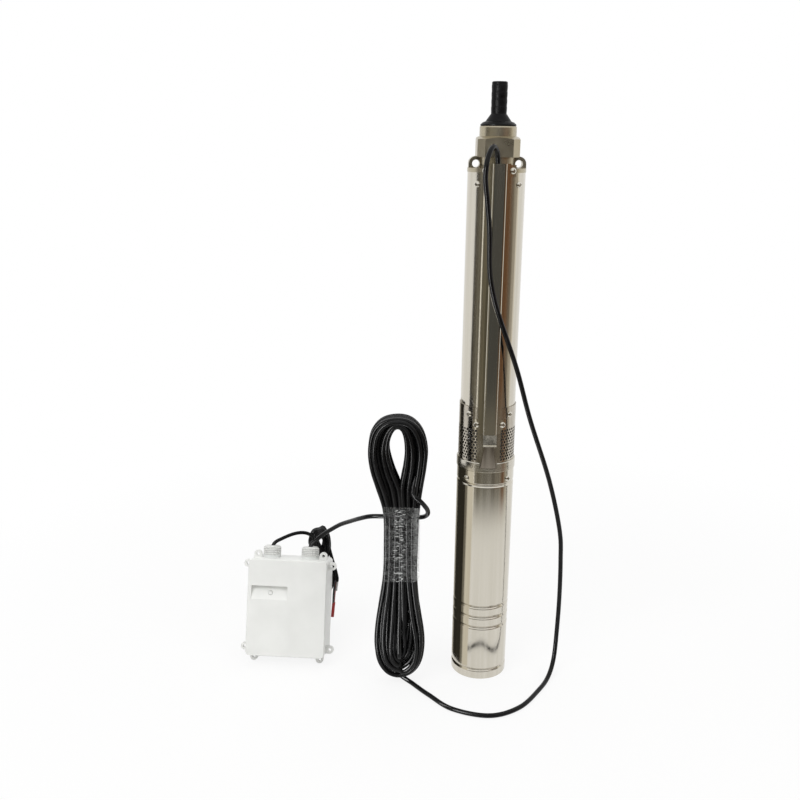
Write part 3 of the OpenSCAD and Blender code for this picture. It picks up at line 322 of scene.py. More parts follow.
# %% Plastics and rubber
tail_plastic = make_finish("tail_plastic", MOTTLE, [(0.003, 0.003, 0.0033), (0.006, 0.006, 0.0063)],
                           (0.34, 0.42), bump=0.12, Scale=90.0, Grain=1400.0, Specular_IOR_Level=0.1)
stage_plastic = make_finish("stage_plastic", MOTTLE, [(0.09, 0.09, 0.09), (0.14, 0.14, 0.14)],
                            (0.42, 0.56), bump=0.15, Scale=70.0)
wheel_plastic = make_finish("wheel_plastic", MOTTLE, [(0.03, 0.03, 0.033), (0.055, 0.055, 0.06)],
                            (0.38, 0.52), bump=0.15, Scale=70.0)
seal_rubber = make_finish("seal_rubber", MOTTLE, [(0.018, 0.018, 0.018), (0.035, 0.035, 0.035)],
                          (0.55, 0.70), bump=0.2, Scale=60.0)
cable_rubber = make_finish("cable_rubber", MOTTLE, [(0.004, 0.004, 0.0042), (0.008, 0.008, 0.0082)],
                           (0.16, 0.24), bump=0.10, Scale=45.0, Grain=1200.0, Specular_IOR_Level=0.16)
box_plastic = make_finish("box_plastic", MOTTLE, [(0.80, 0.805, 0.78), (0.84, 0.845, 0.82)],
                          (0.30, 0.40), bump=0.06, Scale=25.0, Grain=1600.0)
gland_plastic = make_finish("gland_plastic", MOTTLE, [(0.74, 0.755, 0.74), (0.80, 0.815, 0.80)],
                            (0.36, 0.48), bump=0.08, Scale=60.0, Grain=1600.0)
# The darker tone follows the rib wave: painted shade in the grooves of the white gland nuts.
ribbed_plastic_painted_shade = make_finish("ribbed_plastic_painted_shade", RIBS, [(0.60, 0.605, 0.585), (0.82, 0.825, 0.80)],
                             (0.40, 0.48), bump=0.9, depth=0.0007, spread=(0.1, 0.6))
WHEELS = [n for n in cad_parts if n.startswith("impeller_")]
BOWLS = [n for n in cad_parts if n.startswith("stage_bowl_")]
dress(tail_plastic, "hose_tail", "run_capacitor")
dress(stage_plastic, *BOWLS)
dress(wheel_plastic, *WHEELS)
dress(seal_rubber, "valve_poppet", "shaft_seal", "top_bearing_bush")
dress(box_plastic, "box_base", "box_lid", "reset_button")
dress(gland_plastic, "gland_bodies")
dress(ribbed_plastic_painted_shade, "gland_nuts")
print("stages", len(WHEELS))

# %% [markdown]
# The route of a cable
#
# A cable lies along a smooth curve through a few chosen points, close to the plain tube that stands
# for it in the solid model. The curve passes through every point, and a round section is carried
# along it without twist.


# %% Curve through points
def smooth_route(points, steps):
    """Cubic curve through the points: each span is blended from its two ends and their neighbours."""
    p = np.asarray(points, float)
    p = np.vstack([p[:1], p, p[-1:]])
    t = np.linspace(0.0, 1.0, steps, endpoint=False)[None, :, None]
    a, b, c, d = (p[i:len(p) - 3 + i, None, :] for i in range(4))
    curve = 2 * b + (c - a) * t + (2 * a - 5 * b + 4 * c - d) * t ** 2 + (3 * b - a - 3 * c + d) * t ** 3
    return np.vstack([0.5 * curve.reshape(-1, p.shape[1]), p[-1:]])


def distance_along(points):
    """Distance of each point of a line from its start, along the line."""
    return np.concatenate([[0.0], np.cumsum(np.linalg.norm(np.diff(points, axis=0), axis=1))])


def even_route(points, spacing):
    """The same line with its points spread evenly, spacing apart."""
    p = np.asarray(points, float)
    along = distance_along(p)
    places = np.linspace(0.0, along[-1], max(2, int(round(along[-1] / spacing)) + 1))
    return np.column_stack([np.interp(places, along, p[:, i]) for i in range(p.shape[1])])


def route_length(points):
    """Sum of the straight steps between the points."""
    return float(np.linalg.norm(np.diff(points, axis=0), axis=1).sum())


def ease_joins(path, places, reach, rounds=120):
    """Evens a line out near given places along it, so that two stretches of a route meet without a kink."""
    p = np.array(path)
    along = distance_along(p)
    near = [np.clip(1.0 - np.abs(along - place) / reach, 0.0, 1.0) for place in places]
    near = np.max(near, axis=0)[1:-1, None]
    for _ in range(rounds):
        p[1:-1] += 0.5 * near * ((p[:-2] + p[2:]) / 2 - p[1:-1])
    return p


FIRST_SIDE = (0.31, 0.95, 0.05)


def tube_points(path, diameter, sides=12):
    """Rings of a round section: centre + radius (cos a side + sin a up), with side carried along the path."""
    along = np.gradient(path, axis=0)
    along /= np.linalg.norm(along, axis=1)[:, None]
    side = np.empty_like(path)
    carried = np.array(FIRST_SIDE)
    for i, direction in enumerate(along):
        carried = carried - carried.dot(direction) * direction
        carried = carried / np.linalg.norm(carried)
        side[i] = carried
    a = np.linspace(0.0, 2 * np.pi, sides, endpoint=False)[None, :, None]
    up = np.cross(along, side)
    return path[:, None, :] + diameter / 2 * (np.cos(a) * side[:, None, :] + np.sin(a) * up[:, None, :])


def make_tube(name, path, diameter, material, sides=12):
    """A closed round tube along a path, with a flat face at each end."""
    rings = tube_points(path, diameter, sides)
    faces = list(grid_faces(len(path), sides, True))
    first = list(range(sides))[::-1]
    last = [(len(path) - 1) * sides + k for k in range(sides)]
    return make_piece(name, rings, faces + [first, last], material, "casing")


# %% [markdown]
# The hank of supply cable
#
# The cable is stored as a hank that stands on its end: a tall loop of many turns, pinched to a
# bundle at its waist. One outline is drawn for the innermost turn and one for the outermost. Every
# turn is a mix of the two at its own depth, and towards its end it moves over to the place of the
# next turn, so the whole hank is one unbroken line.

# %% Outlines of the hank
OUTER_TURN = [
    (-111, 3.3), (-126.6, 8), (-138.2, 24), (-142.8, 46), (-143.4, 70), (-140.5, 105), (-134.6, 145),
    (-132.3, 175), (-132.1, 205), (-132.3, 240), (-135, 262), (-143, 287), (-150.6, 312), (-153.4, 337),
    (-149.4, 361), (-137, 375), (-118, 379.4), (-101, 375.4), (-88.2, 361), (-81.9, 338), (-83.2, 312),
    (-87, 285), (-90, 262), (-91.7, 240), (-91.9, 205), (-91.7, 175), (-89.3, 145), (-83, 105), (-78.7, 70),
    (-79.7, 44), (-85.3, 22), (-96.9, 7.5)]
INNER_TURN = [
    (-111, 37), (-114.4, 39), (-116.8, 44), (-117, 57), (-115, 75), (-112.8, 105), (-112.6, 145),
    (-112.6, 175), (-112.6, 205), (-112.6, 240), (-113, 262), (-115.2, 287), (-124.4, 312), (-130.6, 337),
    (-128.2, 356), (-123.2, 367.5), (-118.5, 370.5), (-113.4, 367.5), (-109.6, 357), (-107.8, 338),
    (-109.2, 316), (-112.6, 291), (-110.8, 262), (-111.4, 240), (-111.4, 205), (-111.4, 175), (-111.4, 145),
    (-111.2, 105), (-108, 75), (-105.2, 57), (-105.2, 44), (-107.6, 39)]
TURN_STEPS = 6
EASE_FROM, WAIST_LOOSE = 0.72, 0.15


def soft_step(value):
    """Clips a value to 0..1 and rounds off both ends of its rise."""
    value = np.clip(value, 0.0, 1.0)
    return value * value * (3 - 2 * value)


def closed_outline(points, steps):
    """The cubic curve of smooth_route, run round a closed outline."""
    wrapped = [points[-1]] + list(points) + [points[0], points[1]]
    curve = smooth_route(wrapped, steps)
    return curve[steps:steps * (len(points) + 1)]


def hank_line(outer, inner, turns, wander, seed):
    """Turns of a hank, one after another. Each turn (mix, depth) is inner + mix (outer - inner) at that
    depth; over its last quarter it eases to the next turn's mix and depth. Slow waves let the turns wander
    in mix and depth, most of all at the two ends, where nothing holds them."""
    t = np.linspace(0.0, 1.0, len(outer), endpoint=False)
    ease = soft_step((t - EASE_FROM) / (1 - EASE_FROM))
    loose = np.cos(2 * np.pi * t) ** 2 * (1 - WAIST_LOOSE) + WAIST_LOOSE
    chance = np.random.default_rng(seed)
    line = []
    for i, (mix, depth) in enumerate(turns):
        next_mix, next_depth = turns[min(i + 1, len(turns) - 1)]
        m = mix + ease * (next_mix - mix)
        y = depth + ease * (next_depth - depth)
        phase = chance.uniform(0, 2 * np.pi, 3)[:2]
        wave = np.sin(2 * np.pi * t[:, None] * np.array([1, 2]) + phase) * loose[:, None]
        m = np.clip(m + wander[0] * wave[:, 0], 0.0, 1.0)
        flat = inner + m[:, None] * (outer - inner)
        line.append(np.column_stack([flat[:, 0], y + wander[1] * wave[:, 1], flat[:, 1], m]))
    return np.vstack(line)


# The foot is the lower loop. Its shaping sets in at FOOT_TOP and is full FOOT_REACH below that; it acts most
# on the inner turns, whose mix is near nought.
FOOT_X, FOOT_HALF, FOOT_TOP, FOOT_REACH = -111.0, 6.5, 130.0, 90.0
CLOSE_FOOT, FOLD_SWING = 6.2, 12.0
FOOT_SWAY, SWAY_RATE, SWAY_PHASE = 1.5, 0.9, 0.4
FOOT_LIFT, LIFT_RATE = 6.0, 1.7
FOOT_TIP_Y, FOOT_TIP = -33.0, 0.45


def settle_foot(line):
    """Closes up the inner turns at the foot of the hank, at a height of its own for each layer, and lifts the
    front turns off the floor. The two sides of a narrow turn swing apart in depth, so that it folds in an
    easy arc."""
    x, y, z, m = line.T
    low = soft_step((FOOT_TOP - z) / FOOT_REACH)
    side = np.clip((x - FOOT_X) / FOOT_HALF, -1.0, 1.0)
    x = x + (FOOT_SWAY * np.sin(SWAY_RATE * y + SWAY_PHASE) - CLOSE_FOOT * side) * (1 - m) * low
    z = z + (FOOT_LIFT * np.cos(LIFT_RATE * y) + FOOT_LIFT / 2) * (1 - m) * low
    z = z + FOOT_TIP * np.maximum(0.0, FOOT_TIP_Y - y) * low
    return np.column_stack([x, y + FOLD_SWING * side * (1 - m) ** 2 * low, z])


def joined_route(start, middle, end, step, reach):
    """Three stretches of a cord in one line, in metres, with even points and without a kink at the joins."""
    line = even_route(np.vstack([start, middle, end]), step + 1.0)
    joins = [route_length(start), route_length(line) - route_length(end)]
    return even_route(smooth_route(ease_joins(line, joins, reach), 3), step) * MM


outer_turn = closed_outline(OUTER_TURN, TURN_STEPS)
inner_turn = closed_outline(INNER_TURN, TURN_STEPS)
print("one turn", round(route_length(outer_turn)), "mm at most")

# %% [markdown]
# The supply cable
#
# It leaves the guard at the top, bends over, runs down past the pump, lies on the floor, goes
# through all the turns of the hank and ends in the right gland of the box. It is one cord, so its
# length is the length of this line.

# %% Supply cable
CABLE_D = 6.2
FROM_PUMP = [
    (-2.4, -41.1, 691), (-2.7, -41.1, 698), (-3, -41.4, 704), (-5, -46, 712), (-9.5, -56, 717.2),
    (-14.8, -66, 711), (-18.6, -72, 698), (-19.4, -72, 680), (-16, -67, 655), (-11.5, -60, 620),
    (-9, -55, 572), (-3, -52, 540), (7, -50.5, 509), (31, -44, 445), (52, -36, 377), (83, -24, 290),
    (103, -12, 214), (108, -6, 167), (110, -3, 110), (109, -5, 60), (105, -16, 22),
    (95, -38, 6), (78, -68, 3.4), (47, -110, 3.4), (6, -130, 3.4), (-42, -116, 3.4),
    (-72, -84, 3.4), (-88, -64, 3.4), (-99, -49.5, 3.4), (-108, -40, 3.4), (-118, -35.5, 4.6)]
TO_BOX = [
    (-105.5, -49.5, 301), (-106.4, -52, 292.5), (-105.2, -57, 286.2), (-101.6, -62, 283.2),
    (-96.5, -65.8, 281), (-90.6, -66.6, 277), (-85.4, -64.4, 271), (-81.4, -60, 264.6), (-78.6, -54, 258.2),
    (-77.4, -47.4, 251.6), (-78.2, -41, 245.8), (-81.4, -34.6, 240.6), (-87.6, -29.4, 237.2),
    (-98, -26.8, 236.4), (-118, -26.8, 236.6), (-136.7, -26.8, 236.9), (-154, -23, 235),
    (-168.5, -9, 226), (-183.4, 15, 211.5), (-198.2, 34, 198.4), (-211.9, 46, 185.6), (-220.7, 52, 177.4),
    (-228.8, 55.5, 169.7), (-235.6, 57, 162.8), (-240.2, 56.4, 159), (-242.1, 54.8, 155.6),
    (-242.2, 53.1, 150.5), (-242.3, 51.6, 145.8)]
LAYERS = [-34.3, -39.0, -43.7, -57.8, -53.1, -48.4]
LAYER_MIXES = [[0.02, 0.36, 0.72], [0.98, 0.62, 0.28], [0.14, 0.50, 0.86]]
HANK_WANDER, HANK_SEED = (0.09, 0.4), 38
HANK_ENTERS, HANK_LEAVES = 0.05, 0.625
ROUTE_STEPS, CABLE_STEP, CABLE_EASE = 8, 4.0, 28.0
hank_turns = [(1.0, LAYERS[0])]
for layer, depth in enumerate(LAYERS):
    hank_turns += [(mix, depth) for mix in LAYER_MIXES[layer % len(LAYER_MIXES)]]
hank = settle_foot(hank_line(outer_turn, inner_turn, hank_turns, HANK_WANDER, HANK_SEED))
enters = int(len(outer_turn) * HANK_ENTERS)
leaves = int(len(outer_turn) * HANK_LEAVES)
hank = hank[enters:len(hank) - len(outer_turn) + leaves]
cable_path = joined_route(smooth_route(FROM_PUMP, ROUTE_STEPS), hank, smooth_route(TO_BOX, ROUTE_STEPS),
                          CABLE_STEP, CABLE_EASE)
supply_cable = make_tube("supply_cable", cable_path, CABLE_D * MM, cable_rubber)
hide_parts("pump_cable", "cable_hank", "box_cable")

# %% [markdown]
# The cable under the guard
#
# The last stretch of the supply cable runs down inside the folded guard and bends in through the
# strainer to the motor's plug. It is held all the way, so it is a rigid piece, not a free cord.

# %% Riser under the guard
RISER_STEPS = 10
RISER = [(0, -31.5, 310.6), (0, -31.5, 319), (0, -31.5, 325), (0, -33.3, 336), (0, -35.8, 348),
         (0, -40.2, 357), (0, -41.1, 366), (0, -41.1, 378), (0, -41.1, 397), (0, -41.1, 429), (0, -41.1, 480),
         (0, -41.1, 577), (0, -41.1, 637), (-1.2, -41.1, 672), (-2.6, -41.1, 697)]
riser_path = even_route(smooth_route(RISER, RISER_STEPS), CABLE_STEP) * MM
riser = make_tube("riser", riser_path, CABLE_D * MM, cable_rubber)
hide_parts("riser_cable")

# %% [markdown]
# The mains lead
#
# It leaves the left gland and is folded into a small hank behind the box. Its end comes over the
# top of the hank and hangs at the right of the box, with its three cores bare.

# %% Mains lead and its hank
LEAD_D = 5.2
LEAD_ROUTE = [
    (-297.5, 55.5, 145.8), (-297.3, 57.1, 150.5), (-296.6, 58.6, 154.8), (-293.9, 60.2, 158.4),
    (-289.6, 61.6, 160.9), (-284.2, 63.2, 163.1), (-276.6, 65.6, 166), (-267.2, 69, 168.4),
    (-256.4, 73.5, 168.4), (-247.2, 78.5, 164.4), (-241, 83, 156), (-236, 85.5, 136), (-230, 87.5, 110)]
LEAD_OUTER = [
    (-223.6, 80), (-224.5, 25), (-228, 9), (-234, 2.9), (-240, 9), (-243.5, 25), (-245.5, 60), (-252, 78),
    (-255.5, 92), (-253.5, 107), (-248, 126), (-246.4, 148), (-243.2, 161), (-238.4, 166.2), (-232.4, 164.8),
    (-226.4, 166), (-221.4, 160.5), (-218.8, 147), (-221.5, 120)]
LEAD_INNER = [
    (-231.8, 80), (-231.4, 40), (-232, 30), (-234, 27), (-236, 30), (-236.6, 40), (-236.5, 60), (-236.2, 78),
    (-235.9, 92), (-235.5, 107), (-235, 126), (-235, 138), (-235.2, 146), (-234.6, 151), (-232.6, 152.6),
    (-230.6, 151), (-230, 146), (-230.2, 138), (-231, 118)]
LEAD_TAIL = [
    (-219.6, 95, 126), (-217.6, 94, 119.4), (-213.3, 93, 113.4), (-209, 91, 105.3), (-206.1, 88, 97.6),
    (-205.7, 85.5, 91.7), (-206.8, 83, 85.9)]
LEAD_TURNS = [(0.1, 90.3), (0.7, 90.3), (1.0, 90.6), (0.05, 95.0), (0.4, 95.0), (0.95, 95.0), (0.6, 99.0),
              (0.97, 97.0)]
LEAD_WANDER, LEAD_SEED, LEAD_LEFT_OUT = (0.12, 0.3), 9, 0.19
LEAD_STEP, LEAD_EASE = 3.0, 40.0
# The two sides of the lead's hank cross between these heights, and its folds begin FOLD_FROM above and
# below the height LEAD_Z.
CROSS_LOW, CROSS_HIGH, CROSS_X, CROSS_DEPTH = 86.0, 152.0, -226.0, 2.0
CROSS_SPREAD, SPREAD_RATE = 3.6, 2.4
LEAD_X, FOLD_X, FOLD_HALF, LEAD_SWING = -232.8, -233.0, 5.0, 6.0
LEAD_Z, FOLD_FROM, FOLD_REACH = 90.0, 35.0, 25.0


def swing_folds(line):
    """Swings the two sides of each fold apart in depth, so that the lead turns in an easier arc."""
    x, y, z = line.T
    fold = np.clip((np.abs(z - LEAD_Z) - FOLD_FROM) / FOLD_REACH, 0.0, 1.0)
    side = np.clip((x - FOLD_X) / FOLD_HALF, -1.0, 1.0)
    return np.column_stack([x, y + LEAD_SWING * side * fold, z])


def cross_over(line, spread):
    """Crosses the two sides of the hank over: x = c + (x - middle) s, where s goes from 1 above the crossing
    to -1 under it and c leans to the crossing's own place; the sides part in depth where they meet."""
    x, y, z = line.T
    s = np.sin(np.pi * (np.clip((z - CROSS_LOW) / (CROSS_HIGH - CROSS_LOW), 0.0, 1.0) - 0.5))
    near = 1 - s * s
    place = LEAD_X + (CROSS_X + spread - LEAD_X) * near
    return np.column_stack([place + (x - LEAD_X) * s, y + CROSS_DEPTH * np.sign(x - LEAD_X) * near, z])


lead_outer = closed_outline(LEAD_OUTER, ROUTE_STEPS)
lead_inner = closed_outline(LEAD_INNER, ROUTE_STEPS)
lead_hank = swing_folds(hank_line(lead_outer, lead_inner, LEAD_TURNS, LEAD_WANDER, LEAD_SEED)[:, :3])
turn_number = np.arange(len(lead_hank)) // len(lead_outer)
lead_hank = cross_over(lead_hank, CROSS_SPREAD * np.sin(SPREAD_RATE * turn_number))
lead_hank = lead_hank[:len(lead_hank) - int(len(lead_outer) * LEAD_LEFT_OUT)]
lead_path = joined_route(smooth_route(LEAD_ROUTE, ROUTE_STEPS), lead_hank,
                         smooth_route(LEAD_TAIL, ROUTE_STEPS), LEAD_STEP, LEAD_EASE)
mains_lead = make_tube("mains_lead_cord", lead_path, LEAD_D * MM, cable_rubber)
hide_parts("mains_lead", "mains_hank")

# %% Bare cores
CORE_D, SLEEVE_D, CORE_STEP = 3.2, 4.8, 2.0
CORE_ROUTES = {
    "core_live": [
        (-207.6, 84.6, 87), (-208, 85.4, 84.6), (-209.7, 83.6, 70.5), (-211.1, 81, 53.7),
        (-213.1, 77.8, 31.2)],
    "core_neutral": [
        (-206, 83.4, 88), (-205.7, 82.6, 85.6), (-206.5, 81.2, 79.4), (-207.3, 80.2, 72.9)],
    "core_earth": [
        (-208, 82.4, 88), (-209.2, 81, 85.9), (-210.3, 79.4, 77.4), (-211.1, 77.8, 66.8), (-211.6, 76.8, 55)]}
CORE_TONES = {
    "core_live": (0.42, 0.020, 0.016), "core_neutral": (0.62, 0.61, 0.59), "core_earth": (0.02, 0.02, 0.02)}
cores = []
for label, route in CORE_ROUTES.items():
    tone = np.array(CORE_TONES[label])
    tones = [tuple(tone * 0.85), tuple(tone)]
    sheath = make_finish(label + "_sheath", MOTTLE, tones, (0.30, 0.42), Scale=120.0)
    core_path = even_route(smooth_route(route, ROUTE_STEPS), CORE_STEP) * MM
    core = make_tube(label, core_path, CORE_D * MM, sheath, sides=10)
    cores.append(core)
sleeve_path = even_route(CORE_ROUTES["core_live"][3:], CORE_STEP) * MM
live_sleeve = make_tube("live_sleeve", sleeve_path, SLEEVE_D * MM, cores[0].data.materials[0])
cores.append(live_sleeve)
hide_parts("core_ends")

# %% [markdown]
# The film round the hank
#
# A strip of clear film is wound tightly round the waist. Its section is a rectangle with soft
# corners; creases run across it, pulled between the strands, and the surface is mostly clear with
# milky folds where layers overlap.


# %% Film
FILM_LOW, FILM_HIGH = 159.0, 263.5
FILM_X, FILM_Y, FILM_HALF_X, FILM_HALF_Y = -112, -46, 24.4, 16.2
FILM_ROWS, FILM_COLUMNS = 90, 160
FILM_POWER = 2 / 9.0


def film_surface(rows, columns):
    """Soft rectangle |x/a|^n + |y/b|^n = 1 carried up the waist, with creases along and across it."""
    a = np.linspace(0.0, 2 * np.pi, columns, endpoint=False)[None, :]
    v = np.linspace(0.0, 1.0, rows)[:, None]
    x = np.sign(np.cos(a)) * np.abs(np.cos(a)) ** FILM_POWER
    y = np.sign(np.sin(a)) * np.abs(np.sin(a)) ** FILM_POWER
    crease = 0.35 * np.sin(9 * a + 14 * v) * np.sin(23 * v + 2 * a) + 0.25 * np.sin(31 * a - 9 * v)
    crease = crease + 0.35 * np.sin(5 * a + 40 * v + 1.3 * np.sin(3 * a))
    grow = 1.0 + 0.008 * crease + 0.015 * (2 * v - 1) ** 4
    height = FILM_LOW + (FILM_HIGH - FILM_LOW) * v + 0.8 * np.sin(3 * a + 1.0) * (2 * v - 1)
    x = FILM_X + FILM_HALF_X * x * grow
    y = FILM_Y + FILM_HALF_Y * y * grow
    return np.stack([x, y, height], axis=-1) * MM


def film_material():
    """Clear film whose opacity is the share of light that it stops: milky folds all over, painted highlights
    as short strokes down the middle of the front, and a pale right edge."""
    material, tree, shader = new_material("clear_film")
    shader.inputs["Base Color"].default_value = (0.66, 0.67, 0.66, 1.0)
    shader.inputs["Roughness"].default_value = 0.12
    place = tree.nodes.new("ShaderNodeTexCoord").outputs["Object"]
    split = tree.nodes.new("ShaderNodeSeparateXYZ")
    tree.links.new(place, split.inputs[0])
    folds = stretched(tree, place, (130.0, 130.0, 330.0), (0.2, 0.35, 0.0))
    folds = noise_node(tree, folds, 1.0, 5.0, 1.2)
    # Painted highlights: short pale strokes of opacity down the middle of the front stand in for glints on
    # the film's creases.
    highlight_noise = noise_node(tree, stretched(tree, place, (170.0, 170.0, 800.0)), 1.0, 2.0)
    off_middle = math_node(tree, "ADD", split.outputs["X"], 0.1145)
    off_middle = math_node(tree, "ABSOLUTE", off_middle, 0.0)
    painted_highlights = math_node(tree, "MULTIPLY", map_range(tree, highlight_noise, 0.57, 0.66, 0.0, 0.85),
                       map_range(tree, off_middle, 0.011, 0.004))
    edge = math_node(tree, "MULTIPLY", map_range(tree, split.outputs["X"], -0.099, -0.094, 0.0, 0.30),
                     map_range(tree, folds, 0.30, 0.60))
    milk_and_painted_highlights = math_node(tree, "MAXIMUM", map_range(tree, folds, 0.42, 0.78, 0.015, 0.20), painted_highlights)
    tree.links.new(math_node(tree, "MAXIMUM", milk_and_painted_highlights, edge), shader.inputs["Alpha"])
    relief = tree.nodes.new("ShaderNodeBump")
    relief.inputs["Strength"].default_value = 0.8
    relief.inputs["Distance"].default_value = 0.0015
    tree.links.new(folds, relief.inputs["Height"])
    tree.links.new(relief.outputs["Normal"], shader.inputs["Normal"])
    return material


film = make_piece("waist_film", film_surface(FILM_ROWS, FILM_COLUMNS),
                  grid_faces(FILM_ROWS, FILM_COLUMNS, True), film_material(), "casing")
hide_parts("hank_wrap")

# %% [markdown]
# The inlet strainer
#
# Water enters through a sleeve with hundreds of small punched holes. One cell is a rectangle with a
# round hole, drawn once as twelve quads; rows of cells are shifted by half a pitch, and the flat
# sheet of cells is then rolled round the pump. The front of the sleeve is plain, and has a slot for
# the cable.

# %% Strainer sheet
SLEEVE_R, SLEEVE_T = 37.2, 0.9
HOLE_R, HOLE_PITCH, CELL_QUADS = 1.6, 4.5, 12
PLAIN_HALF, PLAIN_STEP, PLAIN_ROWS = np.radians(24.0), np.radians(3.0), 4
HOLES_LOW, HOLES_HIGH, SLEEVE_LOW, SLEEVE_TOP = 319.0, 362.0, 317.1, 391.0
SLOT_HALF, SLOT_TOP = 4.7, 360.0
SEAM_GAP, RIM_ANGLE = 0.00002, np.radians(40.0)


def cell_sheet(width, low, high, pitch, hole):
    """Rows of cells over a flat strip: the points of each cell and of its hole, and the quads between."""
    count = int(round(width / pitch))
    rows = int(round((high - low) / (pitch * np.sin(np.pi / 3))))
    w, h = width / count, (high - low) / rows
    x = np.array([-2, -1, 0, 1, 2, 2, 2, 1, 0, -1, -2, -2]) * w / 4
    z = np.array([-1, -1, -1, -1, -1, 0, 1, 1, 1, 1, 1, 0]) * h / 2
    angle = np.arctan2(z, x)
    edge = np.column_stack([x, z])
    rim = hole * np.column_stack([np.cos(angle), np.sin(angle)])
    column, row = np.meshgrid(np.arange(count), np.arange(rows))
    middle = np.stack([(column + 0.5 + 0.5 * (row % 2)) * w, low + (row + 0.5) * h], axis=-1)
    middle = middle.reshape(-1, 1, 2)
    points = np.concatenate([middle + edge, middle + rim], axis=1)
    k = np.arange(CELL_QUADS)
    n = (k + 1) % CELL_QUADS
    ring = np.stack([k, n, CELL_QUADS + n, CELL_QUADS + k], axis=-1)
    faces = (np.arange(len(points))[:, None, None] * 2 * CELL_QUADS + ring).reshape(-1, 4)
    return points.reshape(-1, 2), faces


def plain_sheet(start, end, low, high):
    """A plain strip of the sleeve as a grid of angle and height."""
    columns = max(2, int(abs(end - start) / PLAIN_STEP))
    a, z = np.meshgrid(np.linspace(start, end, columns), np.linspace(low, high, PLAIN_ROWS))
    return np.stack([a, z], axis=-1).reshape(-1, 2), grid_faces(PLAIN_ROWS, columns, False)


def rolled(flat, radius):
    """Rolls (angle from the front, height) onto a cylinder: x = r sin a, y = -r cos a."""
    return np.column_stack([radius * np.sin(flat[:, 0]), -radius * np.cos(flat[:, 0]), flat[:, 1]])


slot_angle = np.arcsin(SLOT_HALF / SLEEVE_R)
holes_width = (2 * np.pi - 2 * PLAIN_HALF) * SLEEVE_R
holes_flat, holes_faces = cell_sheet(holes_width, HOLES_LOW, HOLES_HIGH, HOLE_PITCH, HOLE_R)
holes_flat[:, 0] = PLAIN_HALF + holes_flat[:, 0] / SLEEVE_R
strips = [
    (slot_angle, 2 * np.pi - slot_angle, SLEEVE_LOW, HOLES_LOW),
    (slot_angle, PLAIN_HALF, HOLES_LOW, SLOT_TOP),
    (2 * np.pi - PLAIN_HALF, 2 * np.pi - slot_angle, HOLES_LOW, SLOT_TOP),
    (-PLAIN_HALF, PLAIN_HALF, SLOT_TOP, HOLES_HIGH),
    (-np.pi, np.pi, HOLES_HIGH, SLEEVE_TOP)]
sheet_points, sheet_faces = [holes_flat], [holes_faces]
for strip in strips:
    flat, faces = plain_sheet(*strip)
    sheet_faces.append(faces + sum(len(p) for p in sheet_points))
    sheet_points.append(flat)
strainer = make_piece("strainer_sleeve", rolled(np.vstack(sheet_points), SLEEVE_R) * MM,
                      np.vstack(sheet_faces), strainer_sheet, "casing")
seams = strainer.modifiers.new("seams", "WELD")
seams.merge_threshold = SEAM_GAP
wall = strainer.modifiers.new("wall", "SOLIDIFY")
wall.thickness = SLEEVE_T * MM
wall.offset = -1.0
rims = strainer.modifiers.new("rims", "EDGE_SPLIT")
rims.split_angle = RIM_ANGLE
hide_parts("inlet_strainer")
print("strainer holes", len(holes_faces) // CELL_QUADS)

# %% [markdown]
# Floor, light and surroundings
#
# Polished metal shows what stands round it. A white room alone would make the tubes look like paper,
# so a dark warm curtain stands in front of the pump where only reflections see it, as a
# photographer's flag does. The floor is white to the camera and keeps a faint shadow.


# %% Floor and backdrop
def seen_rays(tree):
    """One for camera, mirror and glass rays, and nought for the rest."""
    rays = tree.nodes.new("ShaderNodeLightPath")
    seen = math_node(tree, "MAXIMUM", rays.outputs["Is Camera Ray"], rays.outputs["Is Glossy Ray"])
    return math_node(tree, "MAXIMUM", seen, rays.outputs["Is Transmission Ray"])


def glow_material(name, colour, strength, keep, near, far):
    """White to camera, mirror and glass rays. Near the object a share of real shading keeps its shadow;
    from the distance near to the distance far that share fades out."""
    material, tree, shader = new_material(name)
    shader.inputs["Base Color"].default_value = (*colour, 1.0)
    shader.inputs["Roughness"].default_value = 0.9
    shader.inputs["Specular IOR Level"].default_value = 0.0
    glow = tree.nodes.new("ShaderNodeEmission")
    glow.inputs["Color"].default_value = (1.0, 1.0, 1.0, 1.0)
    glow.inputs["Strength"].default_value = strength
    place = tree.nodes.new("ShaderNodeTexCoord")
    reach = tree.nodes.new("ShaderNodeVectorMath")
    reach.operation = "LENGTH"
    tree.links.new(place.outputs["Object"], reach.inputs[0])
    fade = map_range(tree, reach.outputs["Value"], near, far, keep, 1.0)
    share = math_node(tree, "MULTIPLY", seen_rays(tree), fade)
    mix = tree.nodes.new("ShaderNodeMixShader")
    tree.links.new(share, mix.inputs[0])
    tree.links.new(shader.outputs[0], mix.inputs[1])
    tree.links.new(glow.outputs[0], mix.inputs[2])
    tree.links.new(mix.outputs[0], tree.nodes["Material Output"].inputs["Surface"])
    return material


def stage_mesh(name, points, faces, material):
    """A mesh that isn't part of the object."""
    thing = mesh_object(name, points, faces, material)
    return thing


FLOOR_HALF = 6.0
floor_white = glow_material("floor_white", (0.86, 0.86, 0.85), 1.0, keep=0.86, near=0.45, far=1.0)
floor_corners = FLOOR_HALF * np.array([(-1, -1, 0), (1, -1, 0), (1, 1, 0), (-1, 1, 0)])
stage_mesh("floor", floor_corners, [(0, 1, 2, 3)], floor_white)

